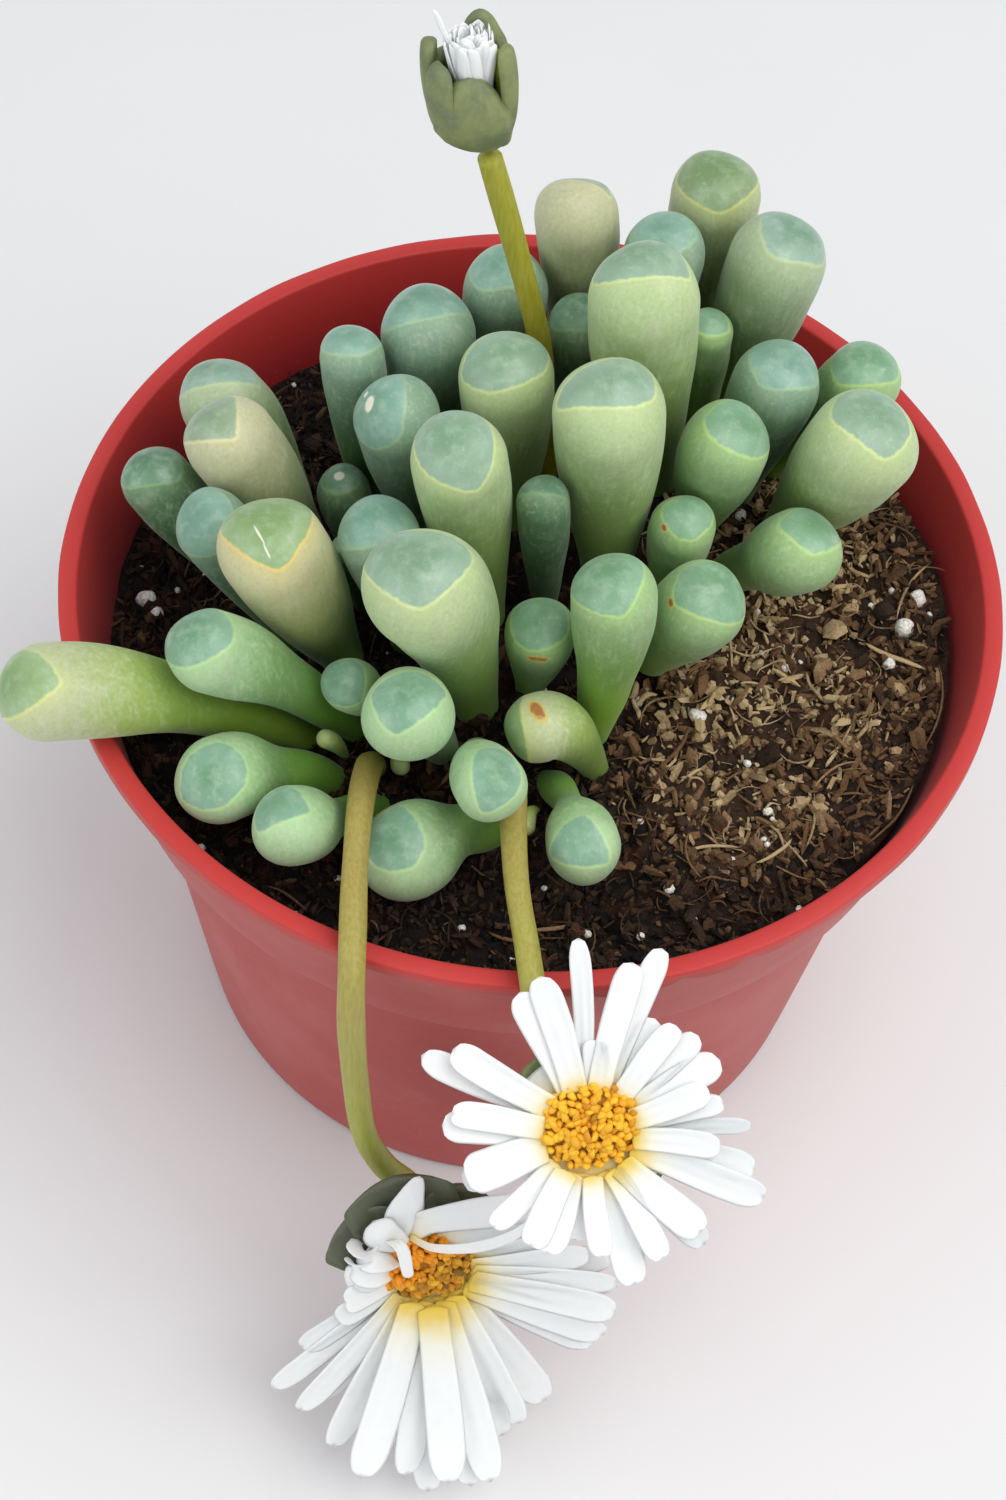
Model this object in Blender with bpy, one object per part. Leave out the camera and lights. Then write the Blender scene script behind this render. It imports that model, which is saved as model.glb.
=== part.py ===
"""Potted baby toes: a clump of finger-shaped window leaves in a round plastic nursery pot.

The pot stands on z = 0 with its axis on the Z axis, and its underside's centre is the origin.
The camera side of the plant is -Y: two open flowers hang over the rim there, and a bud stands
at the back. Lengths in the tables are millimetres, and MM turns them into metres.
"""

import math

import bmesh
import bpy
import numpy as np
from mathutils import Vector

MM = 0.001

# Pot: driving dimensions in millimetres.
RIM_RADIUS = 50.0
RIM_WIDTH = 2.0
RIM_DEPTH = 2.0
POT_HEIGHT = 68.0
COLLAR_TOP_RADIUS = 48.5
COLLAR_FOOT_RADIUS = 45.6
COLLAR_FOOT_HEIGHT = 50.4
WALL_TOP_RADIUS = 43.2
BASE_RADIUS = 37.5
WALL = 1.2
FLOOR = 1.6
EDGE = 0.3
POT_SEGMENTS = 48
DRAIN_HOLES = 8
DRAIN_RADIUS = 2.8
DRAIN_CIRCLE = 25.0
DRAIN_SEGMENTS = 12

# Soil: its top slopes up to the right, as it was filled. GAP parts touching pieces.
GAP = 0.35
SOIL_EDGE = 0.5
SOIL_HEIGHT = 59.5
SOIL_SLOPE = 0.045
SOIL_TOP_RADIUS = 45.5

# Leaves: each swells from its foot to a round tip.
LEAF_SIDES = 10
LEAF_STATIONS = (0.0, 0.13, 0.29, 0.46, 0.63, 0.81, 1.0)
DOME_ANGLES = (32.0, 63.0)
DOME_HEIGHT = 0.88
FOOT_RATIO = 0.42
FULL_AT = 0.9
SWELL_POWER = 1.3
LEAF_RISE = 2.0
UPRIGHT_RINGS = 3.0

# Clearance that neighbouring leaves and stems keep from each other.
CLEARANCE = 0.6
SETTLE_STEPS = 300
SETTLE_STATIONS = 11
MIDDLE_YIELD = 1.5

# Leaves and bracts: name, foot (x, y), tip centre (x, y, z), tip radius, extra rise of the middle.
# Feet stand on the soil. The rows go round the clump in the order a grower would part it.
LEAVES = (
    # Back of the clump, tall and nearly upright.
    ("leaf_01", (1.5, 33.5), (-1.5, 27.5, 89.5), 4.4, 0.5),
    ("leaf_02", (-4.5, 31.5), (-3.0, 26.5, 85.5), 4.5, 0.0),
    ("leaf_03", (15.0, 37.0), (14.0, 32.0, 90.5), 4.8, 0.5),
    ("leaf_04", (9.5, 32.5), (12.5, 29.0, 90.5), 4.3, 0.0),
    ("leaf_05", (19.5, 30.0), (22.0, 24.5, 92.0), 5.1, 0.5),
    ("leaf_06", (13.5, 21.0), (9.5, 14.0, 97.0), 5.6, 0.0),
    ("leaf_07", (-12.5, 21.5), (-13.5, 18.0, 84.0), 5.0, 0.0),
    ("leaf_08", (-19.0, 14.5), (-20.0, 13.0, 85.0), 3.4, 0.0),
    ("leaf_09", (-3.0, 14.0), (-4.5, 10.0, 87.0), 4.9, 0.0),
    ("leaf_10", (4.5, 26.5), (2.5, 21.0, 82.5), 3.8, 0.5),
    ("leaf_11", (16.5, 24.0), (14.5, 19.0, 85.5), 2.5, 0.5),
    # Right-hand side, leaning out over the bare soil.
    ("leaf_12", (22.0, 19.5), (24.0, 13.0, 84.5), 4.6, 0.5),
    ("leaf_13", (25.5, 23.0), (32.0, 16.5, 83.0), 4.0, 0.5),
    ("leaf_14", (27.0, 15.5), (31.0, 7.0, 86.5), 5.7, 0.0),
    ("leaf_15", (18.0, 14.5), (19.0, 6.0, 85.5), 4.5, 0.0),
    ("leaf_20", (14.5, 3.0), (14.5, 0.0, 79.0), 3.4, 0.0),
    ("leaf_21", (20.5, 8.0), (27.0, -1.5, 77.5), 4.4, -2.0),
    ("leaf_22", (13.5, -4.5), (17.0, -10.0, 78.0), 4.6, 0.0),
    # Middle of the clump, the tallest and fattest leaves.
    ("leaf_16", (8.0, 5.5), (5.5, 0.0, 93.0), 5.6, 0.5),
    ("leaf_17", (-13.0, 11.5), (-15.5, 6.5, 84.0), 4.5, 0.0),
    ("leaf_18", (-4.5, 0.0), (-7.5, -5.5, 91.5), 4.8, 0.0),
    ("leaf_19", (1.5, 0.5), (-1.0, -3.5, 85.0), 2.7, 0.0),
    ("leaf_23", (7.0, -14.5), (7.5, -15.5, 85.5), 4.3, 0.0),
    ("leaf_24", (0.5, -9.0), (0.0, -13.0, 74.0), 3.6, 0.5),
    ("leaf_25", (-4.5, -12.5), (-10.5, -20.5, 87.0), 5.9, 1.0),
    ("leaf_26", (-13.0, -4.0), (-15.5, -8.5, 82.0), 4.1, 0.0),
    # Left-hand side.
    ("leaf_27", (-19.5, 7.0), (-22.0, 7.0, 70.0), 2.9, 0.0),
    ("leaf_28", (-19.5, -6.5), (-25.5, -11.0, 83.0), 5.4, 0.0),
    ("leaf_29", (-24.5, -5.0), (-32.0, -4.5, 78.0), 3.9, 0.0),
    ("leaf_30", (-24.5, 8.5), (-32.5, 3.0, 80.0), 4.8, -0.5),
    ("leaf_31", (-27.0, 14.5), (-34.0, 12.5, 75.5), 4.6, 0.5),
    ("leaf_32", (-28.5, 1.0), (-39.0, 3.5, 74.5), 3.8, -0.5),
    ("leaf_43", (-18.5, 1.0), (-19.5, -3.5, 73.0), 1.9, 0.0),
    # Front left rosette, sprawling over the soil and the rim.
    ("leaf_33", (-21.5, -17.5), (-46.0, -26.5, 76.0), 4.9, 2.0),
    ("leaf_34", (-16.5, -16.5), (-31.5, -21.5, 78.0), 4.2, 0.5),
    ("leaf_35", (-13.0, -16.0), (-17.5, -19.5, 71.5), 2.8, 0.5),
    ("leaf_36", (-7.5, -18.0), (-7.5, -25.5, 77.5), 4.6, 0.0),
    ("leaf_39", (-18.0, -22.0), (-28.5, -29.0, 68.0), 4.5, 1.0),
    ("leaf_40", (-13.5, -24.5), (-22.5, -32.5, 69.0), 4.0, -1.5),
    ("bract_left_outer", (-18.0, -19.5), (-20.5, -20.0, 65.0), 1.0, 0.0),
    ("bract_left_inner", (-12.5, -20.0), (-11.5, -21.5, 64.0), 1.0, 0.0),
    # Front right rosette.
    ("leaf_37", (-3.5, -17.5), (-3.5, -30.0, 76.5), 3.6, 1.5),
    ("leaf_38", (8.0, -20.0), (-2.5, -25.0, 70.5), 3.5, 3.5),
    ("leaf_41", (0.5, -26.0), (-11.5, -33.5, 66.0), 4.9, 0.5),
    ("leaf_42", (3.0, -20.5), (7.0, -33.5, 68.0), 3.7, 0.5),
    ("bract_right", (2.0, -24.5), (2.5, -28.0, 63.5), 0.9, 0.0),
)

# Flower stems: the points that each passes through, foot first.
STEM_SIDES = 8
STEM_STEP = 4.0
STEM_LEFT_RADIUS = 1.35
STEM_RIGHT_RADIUS = 1.3
STEM_BUD_RADIUS = 1.2
STEM_LEFT = (
    (-14.8, -20.0, 59.0),
    (-15.0, -25.0, 66.0),
    (-15.1, -32.0, 69.6),
    (-14.8, -40.0, 70.3),
    (-14.3, -46.5, 70.3),
    (-14.0, -50.5, 69.0),
    (-13.9, -52.0, 62.0),
    (-13.5, -52.0, 50.0),
    (-12.6, -52.0, 38.0),
    (-10.4, -51.6, 29.5),
    (-7.8, -50.8, 23.6),
    (-6.5, -51.6, 21.6),
    (-6.0, -53.6, 21.9),
)
STEM_RIGHT = (
    (-0.2, -21.5, 59.7),
    (-0.1, -26.0, 66.5),
    (0.2, -33.0, 69.4),
    (1.0, -40.0, 70.4),
    (2.4, -46.5, 70.4),
    (3.4, -50.9, 69.6),
    (4.4, -53.0, 65.2),
    (6.2, -53.2, 59.0),
    (8.3, -52.3, 54.6),
    (9.5, -53.4, 53.9),
    (9.8, -56.1, 56.6),
)
STEM_BUD = (
    (0.5, 19.5, 59.7),
    (-0.2, 18.6, 72.0),
    (-1.4, 18.0, 84.0),
    (-4.2, 18.2, 96.0),
    (-7.9, 19.0, 109.5),
)

# Flowers: the disc's centre and the way each flower faces.
LEFT_CENTRE = (-4.6, -60.1, 24.0)
LEFT_FACING = (0.2, -0.93, 0.3)
RIGHT_CENTRE = (9.8, -61.0, 61.5)
RIGHT_FACING = (0.0, -0.71, 0.71)
BUD_FOOT = (-8.0, 19.05, 110.1)
BUD_FACING = (-0.16, 0.13, 1.0)

# Petal rings: (length, share of it above the disc, lift per millimetre out) of each flower.
LEFT_PETALS = (24.5, 0.55, 0.16)
RIGHT_PETALS = (19.5, 1.0, 0.06)
PETAL_ROOT = 5.3
PETAL_THICKNESS = 0.9
PETAL_LOBES = 16
PETAL_SAMPLES = 64
SCALLOP_DEPTH = 0.18
SCALLOP_POWER = 0.7
SHORTEN_POWER = 1.5

# Turned pieces of the flowers: (radius, height) from foot to top, closed on the axis.
TURN_SEGMENTS = 16
CALYX_PROFILE = (
    (0.0, -6.5),
    (2.0, -6.5),
    (4.6, -4.3),
    (6.6, -1.6),
    (7.0, 0.0),
    (0.0, 0.0),
)
DISC_PROFILE = (
    (0.0, 0.35),
    (4.9, 0.35),
    (4.8, 1.2),
    (3.4, 2.4),
    (0.0, 2.9),
)
BUD_SEPALS_PROFILE = (
    (0.0, 0.0),
    (1.6, 0.0),
    (3.9, 2.0),
    (4.9, 5.2),
    (4.7, 9.0),
    (3.9, 11.0),
    (3.2, 10.6),
    (3.7, 8.6),
    (3.6, 5.0),
    (2.2, 3.4),
    (0.0, 3.0),
)
BUD_PETALS_PROFILE = (
    (0.0, 3.4),
    (1.7, 3.8),
    (2.6, 6.0),
    (2.4, 10.5),
    (2.0, 14.0),
    (0.0, 15.6),
)

RED_PLASTIC = ((0.52, 0.035, 0.03), 0.38)
SOIL_BROWN = ((0.05, 0.032, 0.022), 0.95)
LEAF_GREEN = ((0.30, 0.44, 0.26), 0.45)
BRACT_GREEN = ((0.36, 0.48, 0.25), 0.5)
STEM_OLIVE = ((0.42, 0.40, 0.12), 0.5)
SEPAL_GREEN = ((0.16, 0.20, 0.13), 0.55)
PETAL_WHITE = ((0.90, 0.90, 0.88), 0.5)
DISC_YELLOW = ((0.85, 0.50, 0.04), 0.7)


def clear_scene():
    for item in list(bpy.data.objects):
        bpy.data.objects.remove(item, do_unlink=True)


def material(name, look):
    """One Principled material with a colour and a roughness."""
    colour, roughness = look
    found = bpy.data.materials.get(name)
    if found:
        return found
    made = bpy.data.materials.new(name)
    made.use_nodes = True
    shader = made.node_tree.nodes["Principled BSDF"]
    shader.inputs["Base Color"].default_value = (*colour, 1.0)
    shader.inputs["Roughness"].default_value = roughness
    shader.inputs["Metallic"].default_value = 0.0
    made.diffuse_color = (*colour, 1.0)
    return made


def add_object(name, points, faces, finish, look):
    """One named object from points in millimetres, shaded smooth, its faces turned outwards."""
    mesh = bpy.data.meshes.new(name)
    mesh.from_pydata([tuple(float(c) * MM for c in point) for point in points], [], faces)
    shape = bmesh.new()
    shape.from_mesh(mesh)
    bmesh.ops.recalc_face_normals(shape, faces=shape.faces)
    shape.to_mesh(mesh)
    shape.free()
    mesh.shade_smooth()
    mesh.set_sharp_from_angle(angle=math.radians(40))
    made = bpy.data.objects.new(name, mesh)
    made.data.materials.append(material(finish, look))
    bpy.context.scene.collection.objects.link(made)
    return made


def soil_level(x):
    """Height of the soil's top, which slopes up towards +X."""
    return SOIL_HEIGHT + SOIL_SLOPE * x


def turned(profile, segments):
    """Points and faces of a profile of (radius, height) turned once about Z.

    A profile point of radius 0 becomes one pole point, and every other one a ring.
    """
    points = []
    rings = []
    for radius, height in profile:
        if radius == 0.0:
            rings.append([len(points)])
            points.append((0.0, 0.0, height))
            continue
        ring = []
        for step in range(segments):
            angle = 2.0 * math.pi * step / segments
            ring.append(len(points))
            points.append((radius * math.cos(angle), radius * math.sin(angle), height))
        rings.append(ring)
    faces = []
    for low, high in zip(rings, rings[1:]):
        for step in range(segments):
            after = (step + 1) % segments
            if len(low) == 1:
                faces.append((low[0], high[after], high[step]))
            elif len(high) == 1:
                faces.append((low[step], low[after], high[0]))
            else:
                faces.append((low[step], low[after], high[after], high[step]))
    return np.array(points), faces


def facing_axes(facing):
    """Unit vectors (right, up, out) of a flower that faces along a direction."""
    out = Vector(facing).normalized()
    right = Vector((0.0, 0.0, 1.0)).cross(out)
    if right.length < 0.3:
        right = Vector((1.0, 0.0, 0.0))
    right = (right - out * right.dot(out)).normalized()
    up = out.cross(right)
    return np.array(right), np.array(up), np.array(out)


def placed(points, centre, facing):
    """Points of a shape made about Z, moved so that its Z looks along facing."""
    right, up, out = facing_axes(facing)
    return np.array(centre) + points[:, :1] * right + points[:, 1:2] * up + points[:, 2:] * out


def smooth_path(knots, step):
    """Points about every step millimetres on a Catmull-Rom curve through the knots."""
    knots = np.array(knots, dtype=float)
    ends = np.vstack((2 * knots[0] - knots[1], knots, 2 * knots[-1] - knots[-2]))
    path = []
    for first in range(len(knots) - 1):
        a, b, c, d = ends[first:first + 4]
        count = max(1, round(float(np.linalg.norm(c - b)) / step))
        for part in range(count):
            t = part / count
            path.append(0.5 * (2 * b + (c - a) * t + (2 * a - 5 * b + 4 * c - d) * t * t
                               + (3 * b - a - 3 * c + d) * t ** 3))
    path.append(knots[-1])
    return np.array(path)


def swell(stations):
    """How wide a leaf is along its length, as a share of its tip's radius."""
    rising = np.sin(0.5 * math.pi * np.clip(stations / FULL_AT, 0.0, 1.0))
    return FOOT_RATIO + (1.0 - FOOT_RATIO) * rising ** SWELL_POWER


def bend_path(foot, middle, tip, stations):
    """Points on the quadratic curve from foot to tip that middle pulls aside."""
    s = np.asarray(stations)[:, None]
    return (1 - s) ** 2 * foot + 2 * s * (1 - s) * middle + s ** 2 * tip


def stem_paths():
    """The three stems as (name, path, radius)."""
    return (
        ("stem_left", smooth_path(STEM_LEFT, STEM_STEP), STEM_LEFT_RADIUS),
        ("stem_right", smooth_path(STEM_RIGHT, STEM_STEP), STEM_RIGHT_RADIUS),
        ("stem_bud", smooth_path(STEM_BUD, STEM_STEP), STEM_BUD_RADIUS),
    )


def stem_balls():
    """Centres and radii of balls strung along the stems, for keeping leaves off them."""
    centres = []
    radii = []
    for _, path, radius in stem_paths():
        for start, end in zip(path, path[1:]):
            for share in (0.0, 0.33, 0.67):
                centres.append(start + (end - start) * share)
                radii.append(radius)
    return np.array(centres), np.array(radii)


def settle_leaves():
    """Feet, middles and tips of all leaves, eased apart until none touches another.

    Each leaf is a string of balls on its curve. Balls closer than the clearance push their
    leaves apart, the stems and the rim push back, and the push moves foot, middle and tip by
    their share in the curve.
    """
    tips = np.array([row[2] for row in LEAVES], dtype=float)
    radii = np.array([row[3] for row in LEAVES])
    feet = np.array([(*row[1], soil_level(row[1][0])) for row in LEAVES])
    middles = (feet + tips) / 2.0
    middles[:, 2] += LEAF_RISE + np.array([row[4] for row in LEAVES])

    stations = np.linspace(0.0, 1.0, SETTLE_STATIONS)
    shares = ((1 - stations) ** 2, 2 * stations * (1 - stations), stations ** 2)
    ball = (radii[:, None] * swell(stations)[None, :]).reshape(-1)
    owner = np.repeat(np.arange(len(LEAVES)), SETTLE_STATIONS)
    other = owner[:, None] != owner[None, :]
    posts, post_radii = stem_balls()
    lip_in = RIM_RADIUS - RIM_WIDTH

    for _ in range(SETTLE_STEPS):
        s = stations[None, :, None]
        curve = (1 - s) ** 2 * feet[:, None] + 2 * s * (1 - s) * middles[:, None] + s ** 2 * tips[:, None]
        at = curve.reshape(-1, 3)

        apart = at[:, None] - at[None, :]
        distance = np.linalg.norm(apart, axis=2) + 1e-9
        press = np.clip(ball[:, None] + ball[None, :] + CLEARANCE - distance, 0.0, None) * other
        push = (apart * (0.5 * press / distance)[..., None]).sum(axis=1)
        count = (press > 0).sum(axis=1)

        off_stem = at[:, None] - posts[None, :]
        stem_gap = np.linalg.norm(off_stem, axis=2) + 1e-9
        press = np.clip(ball[:, None] + post_radii[None, :] + CLEARANCE - stem_gap, 0.0, None)
        push += (off_stem * (press / stem_gap)[..., None]).sum(axis=1)
        count = count + (press > 0).sum(axis=1)
        push /= np.maximum(count, 1)[:, None]

        across = np.hypot(at[:, 0], at[:, 1])
        lip_gap = np.hypot(across - np.clip(across, lip_in, RIM_RADIUS), at[:, 2] - POT_HEIGHT)
        over = (at[:, 2] >= POT_HEIGHT) * np.clip(ball + CLEARANCE - lip_gap, 0.0, None)
        push[:, 2] += over

        push = push.reshape(len(LEAVES), SETTLE_STATIONS, 3)
        moves = [(push * share[None, :, None]).sum(axis=1) / share.sum() for share in shares]
        feet[:, :2] += moves[0][:, :2]
        feet[:, 2] = soil_level(feet[:, 0])
        middles += MIDDLE_YIELD * moves[1]
        tips += moves[2]
    return feet, middles, tips, radii


def swept(path, radii, sides, dome):
    """Points and faces of a round tube along a path, its far end domed or flat.

    Rings lie square to the path and are carried along without twisting. The first ring lies on
    the soil's slope, and the next ones turn from upright to the path's way.
    """
    path = np.asarray(path, dtype=float)
    ways = np.gradient(path, axis=0)
    ways /= np.linalg.norm(ways, axis=1)[:, None]
    ease = np.clip(np.arange(len(path)) / UPRIGHT_RINGS, 0.0, 1.0)[:, None]
    ways = ways * ease + np.array((0.0, 0.0, 1.0)) * (1.0 - ease)
    ways /= np.linalg.norm(ways, axis=1)[:, None]
    angles = 2.0 * math.pi * np.arange(sides) / sides
    side = np.array((1.0, 0.0, 0.0))
    rings = []
    for centre, way, radius in zip(path, ways, radii):
        side = side - way * side.dot(way)
        side /= np.linalg.norm(side)
        cross = np.cross(way, side)
        rings.append(centre + radius * (np.cos(angles)[:, None] * side + np.sin(angles)[:, None] * cross))
    rings[0][:, 2] = soil_level(rings[0][:, 0]) + GAP
    top = path[-1]
    if dome:
        for angle in DOME_ANGLES:
            share = math.cos(math.radians(angle))
            rise = math.sin(math.radians(angle)) * radii[-1] * DOME_HEIGHT
            rings.append(top + (rings[len(path) - 1] - top) * share + ways[-1] * rise)
        top = top + ways[-1] * radii[-1] * DOME_HEIGHT
    points = np.vstack(rings + [rings[0].mean(axis=0)[None], top[None]])
    foot_pole = len(rings) * sides
    top_pole = foot_pole + 1
    faces = []
    for ring in range(len(rings) - 1):
        for step in range(sides):
            after = (step + 1) % sides
            low = ring * sides
            faces.append((low + step, low + after, low + sides + after, low + sides + step))
    last = (len(rings) - 1) * sides
    for step in range(sides):
        after = (step + 1) % sides
        faces.append((foot_pole, after, step))
        faces.append((top_pole, last + step, last + after))
    return points, faces


def build_pot():
    """A thin tapered pot with a wider collar, a flat lip and a ring of drain holes."""
    inner_top = RIM_RADIUS - RIM_WIDTH
    profile = (
        (0.0, 0.0),
        (BASE_RADIUS - EDGE, 0.0),
        (BASE_RADIUS, EDGE),
        (WALL_TOP_RADIUS, COLLAR_FOOT_HEIGHT),
        (COLLAR_FOOT_RADIUS - EDGE, COLLAR_FOOT_HEIGHT),
        (COLLAR_FOOT_RADIUS, COLLAR_FOOT_HEIGHT + EDGE),
        (COLLAR_TOP_RADIUS, POT_HEIGHT - RIM_DEPTH),
        (RIM_RADIUS - EDGE, POT_HEIGHT - RIM_DEPTH),
        (RIM_RADIUS, POT_HEIGHT - RIM_DEPTH + EDGE),
        (RIM_RADIUS, POT_HEIGHT - EDGE),
        (RIM_RADIUS - EDGE, POT_HEIGHT),
        (inner_top + EDGE, POT_HEIGHT),
        (inner_top, POT_HEIGHT - EDGE),
        (COLLAR_FOOT_RADIUS - WALL + EDGE, COLLAR_FOOT_HEIGHT + WALL),
        (WALL_TOP_RADIUS - WALL, COLLAR_FOOT_HEIGHT - WALL),
        (BASE_RADIUS - WALL, FLOOR + EDGE),
        (0.0, FLOOR),
    )
    points, faces = turned(profile, POT_SEGMENTS)
    pot = add_object("pot", points, faces, "red_plastic", RED_PLASTIC)

    cutter_points = []
    cutter_faces = []
    drill_profile = (
        (0.0, -FLOOR),
        (DRAIN_RADIUS, -FLOOR),
        (DRAIN_RADIUS, 2.0 * FLOOR),
        (0.0, 2.0 * FLOOR),
    )
    tool, tool_faces = turned(drill_profile, DRAIN_SEGMENTS)
    for hole in range(DRAIN_HOLES):
        angle = 2.0 * math.pi * (hole + 0.5) / DRAIN_HOLES
        offset = np.array((DRAIN_CIRCLE * math.cos(angle), DRAIN_CIRCLE * math.sin(angle), 0.0))
        start = len(cutter_points)
        cutter_points.extend(tool + offset)
        cutter_faces.extend(tuple(start + corner for corner in face) for face in tool_faces)
    cutter = add_object("drain_cutter", cutter_points, cutter_faces, "red_plastic", RED_PLASTIC)
    cutter.hide_render = True
    cutter.display_type = "WIRE"
    drill = pot.modifiers.new("drain_holes", "BOOLEAN")
    drill.operation = "DIFFERENCE"
    drill.solver = "EXACT"
    drill.object = cutter


def build_soil():
    """The soil that fills the pot, clear of its wall, with a sloping top."""
    profile = (
        (0.0, FLOOR + GAP),
        (BASE_RADIUS - WALL - GAP, FLOOR + SOIL_EDGE + GAP),
        (WALL_TOP_RADIUS - WALL - GAP, COLLAR_FOOT_HEIGHT - SOIL_EDGE),
        (COLLAR_FOOT_RADIUS - WALL - GAP, COLLAR_FOOT_HEIGHT + WALL + SOIL_EDGE),
        (SOIL_TOP_RADIUS, SOIL_HEIGHT),
        (0.0, SOIL_HEIGHT),
    )
    points, faces = turned(profile, POT_SEGMENTS)
    top = points[:, 2] == SOIL_HEIGHT
    points[top, 2] = soil_level(points[top, 0])
    add_object("soil", points, faces, "potting_soil", SOIL_BROWN)


def build_leaves():
    """Every leaf and bract as a solid of its own, on the eased curves."""
    stations = np.array(LEAF_STATIONS)
    for row, foot, middle, tip, radius in zip(LEAVES, *settle_leaves()):
        points, faces = swept(
            bend_path(foot, middle, tip, stations), radius * swell(stations), LEAF_SIDES, True)
        if row[0].startswith("bract"):
            add_object(row[0], points, faces, "bract_green", BRACT_GREEN)
        else:
            add_object(row[0], points, faces, "leaf_green", LEAF_GREEN)


def build_stems():
    for name, path, radius in stem_paths():
        points, faces = swept(path, np.full(len(path), radius), STEM_SIDES, False)
        add_object(name, points, faces, "stem_olive", STEM_OLIVE)


def petal_reach(angle, length, upper_share):
    """How far the ring of petals reaches at an angle from the flower's right hand.

    Scallops part the petals, and the petals above the disc are upper_share as long.
    """
    full = abs(math.cos(0.5 * PETAL_LOBES * angle)) ** SCALLOP_POWER
    scallop = 1.0 - SCALLOP_DEPTH * (1.0 - full)
    upward = 0.5 + 0.5 * math.sin(angle)
    return length * scallop * (1.0 + (upper_share - 1.0) * upward ** SHORTEN_POWER)


def petal_ring(length, upper_share, lift):
    """A thin scalloped ring of petals, lifted towards the way the flower faces."""
    shares = (0.0, 0.5, 1.0)
    points = []
    for side in (0, 1):
        for share in shares if side == 0 else reversed(shares):
            for sample in range(PETAL_SAMPLES):
                angle = 2.0 * math.pi * sample / PETAL_SAMPLES
                reach = petal_reach(angle, length, upper_share)
                radius = PETAL_ROOT + (reach - PETAL_ROOT) * share
                height = GAP + lift * (radius - PETAL_ROOT) + PETAL_THICKNESS * side
                points.append((radius * math.cos(angle), radius * math.sin(angle), height))
    rings = 2 * len(shares)
    faces = []
    for ring in range(rings):
        low = ring * PETAL_SAMPLES
        high = (ring + 1) % rings * PETAL_SAMPLES
        for sample in range(PETAL_SAMPLES):
            after = (sample + 1) % PETAL_SAMPLES
            faces.append((low + sample, low + after, high + after, high + sample))
    return np.array(points), faces


def build_turned(name, profile, centre, facing, finish, look):
    """A turned piece that stands at centre and faces along a direction."""
    points, faces = turned(profile, TURN_SEGMENTS)
    add_object(name, placed(points, centre, facing), faces, finish, look)


def build_flower(side, centre, facing, petals):
    """One open flower: a cup of sepals behind, the ring of petals, and the disc in front."""
    build_turned("calyx_" + side, CALYX_PROFILE, centre, facing, "sepal_green", SEPAL_GREEN)
    points, faces = petal_ring(*petals)
    add_object("petals_" + side, placed(points, centre, facing), faces, "petal_white", PETAL_WHITE)
    build_turned("disc_" + side, DISC_PROFILE, centre, facing, "disc_yellow", DISC_YELLOW)


def build_bud():
    """The closed bud: a cup of thick sepals with the furled petals standing in it."""
    build_turned("bud_sepals", BUD_SEPALS_PROFILE, BUD_FOOT, BUD_FACING, "sepal_green", SEPAL_GREEN)
    build_turned("bud_petals", BUD_PETALS_PROFILE, BUD_FOOT, BUD_FACING, "petal_white", PETAL_WHITE)


def main():
    clear_scene()
    build_pot()
    build_soil()
    build_leaves()
    build_stems()
    build_flower("left", LEFT_CENTRE, LEFT_FACING, LEFT_PETALS)
    build_flower("right", RIGHT_CENTRE, RIGHT_FACING, RIGHT_PETALS)
    build_bud()


main()
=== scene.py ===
"""The look of the potted baby toes: window leaves, two open flowers, a bud, loose soil, a red pot.

Lengths in the tables are millimetres in the frame of the CAD, and MM turns them into metres.
The camera side of the plant is -Y. The leaves stand on the same eased curves as in the CAD.
"""

import math

import bpy
import numpy as np
from mathutils import Matrix


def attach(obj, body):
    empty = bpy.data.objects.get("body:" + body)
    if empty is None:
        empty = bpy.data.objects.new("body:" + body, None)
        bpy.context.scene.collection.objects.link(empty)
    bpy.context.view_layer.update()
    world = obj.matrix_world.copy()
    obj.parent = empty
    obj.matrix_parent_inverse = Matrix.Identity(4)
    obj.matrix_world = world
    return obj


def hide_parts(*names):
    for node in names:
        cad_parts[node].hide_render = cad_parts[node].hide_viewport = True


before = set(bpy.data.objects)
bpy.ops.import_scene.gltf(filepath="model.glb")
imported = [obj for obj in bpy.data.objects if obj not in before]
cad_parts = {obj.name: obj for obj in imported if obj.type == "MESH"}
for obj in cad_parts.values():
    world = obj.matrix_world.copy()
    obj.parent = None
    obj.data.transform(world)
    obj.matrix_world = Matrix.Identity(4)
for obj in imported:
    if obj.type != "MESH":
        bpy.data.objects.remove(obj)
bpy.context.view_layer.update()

MM = 0.001

# Pot and soil, as in the CAD.
RIM_RADIUS = 50.0
RIM_WIDTH = 2.0
RIM_DEPTH = 2.0
POT_HEIGHT = 68.0
COLLAR_TOP_RADIUS = 48.5
COLLAR_FOOT_RADIUS = 45.6
COLLAR_FOOT_HEIGHT = 50.4
WALL_TOP_RADIUS = 43.2
BASE_RADIUS = 37.5
WALL = 1.2
FLOOR = 1.6
DRAIN_HOLES = 8
DRAIN_RADIUS = 2.8
DRAIN_CIRCLE = 25.0
GAP = 0.35
SOIL_HEIGHT = 59.5
SOIL_SLOPE = 0.045
SOIL_TOP_RADIUS = 45.5

# How the leaves swell and settle, as in the CAD.
FOOT_RATIO = 0.42
FULL_AT = 0.9
SWELL_POWER = 1.3
LEAF_RISE = 2.0
CLEARANCE = 0.6
SETTLE_STEPS = 300
SETTLE_STATIONS = 11
MIDDLE_YIELD = 1.5

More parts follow.
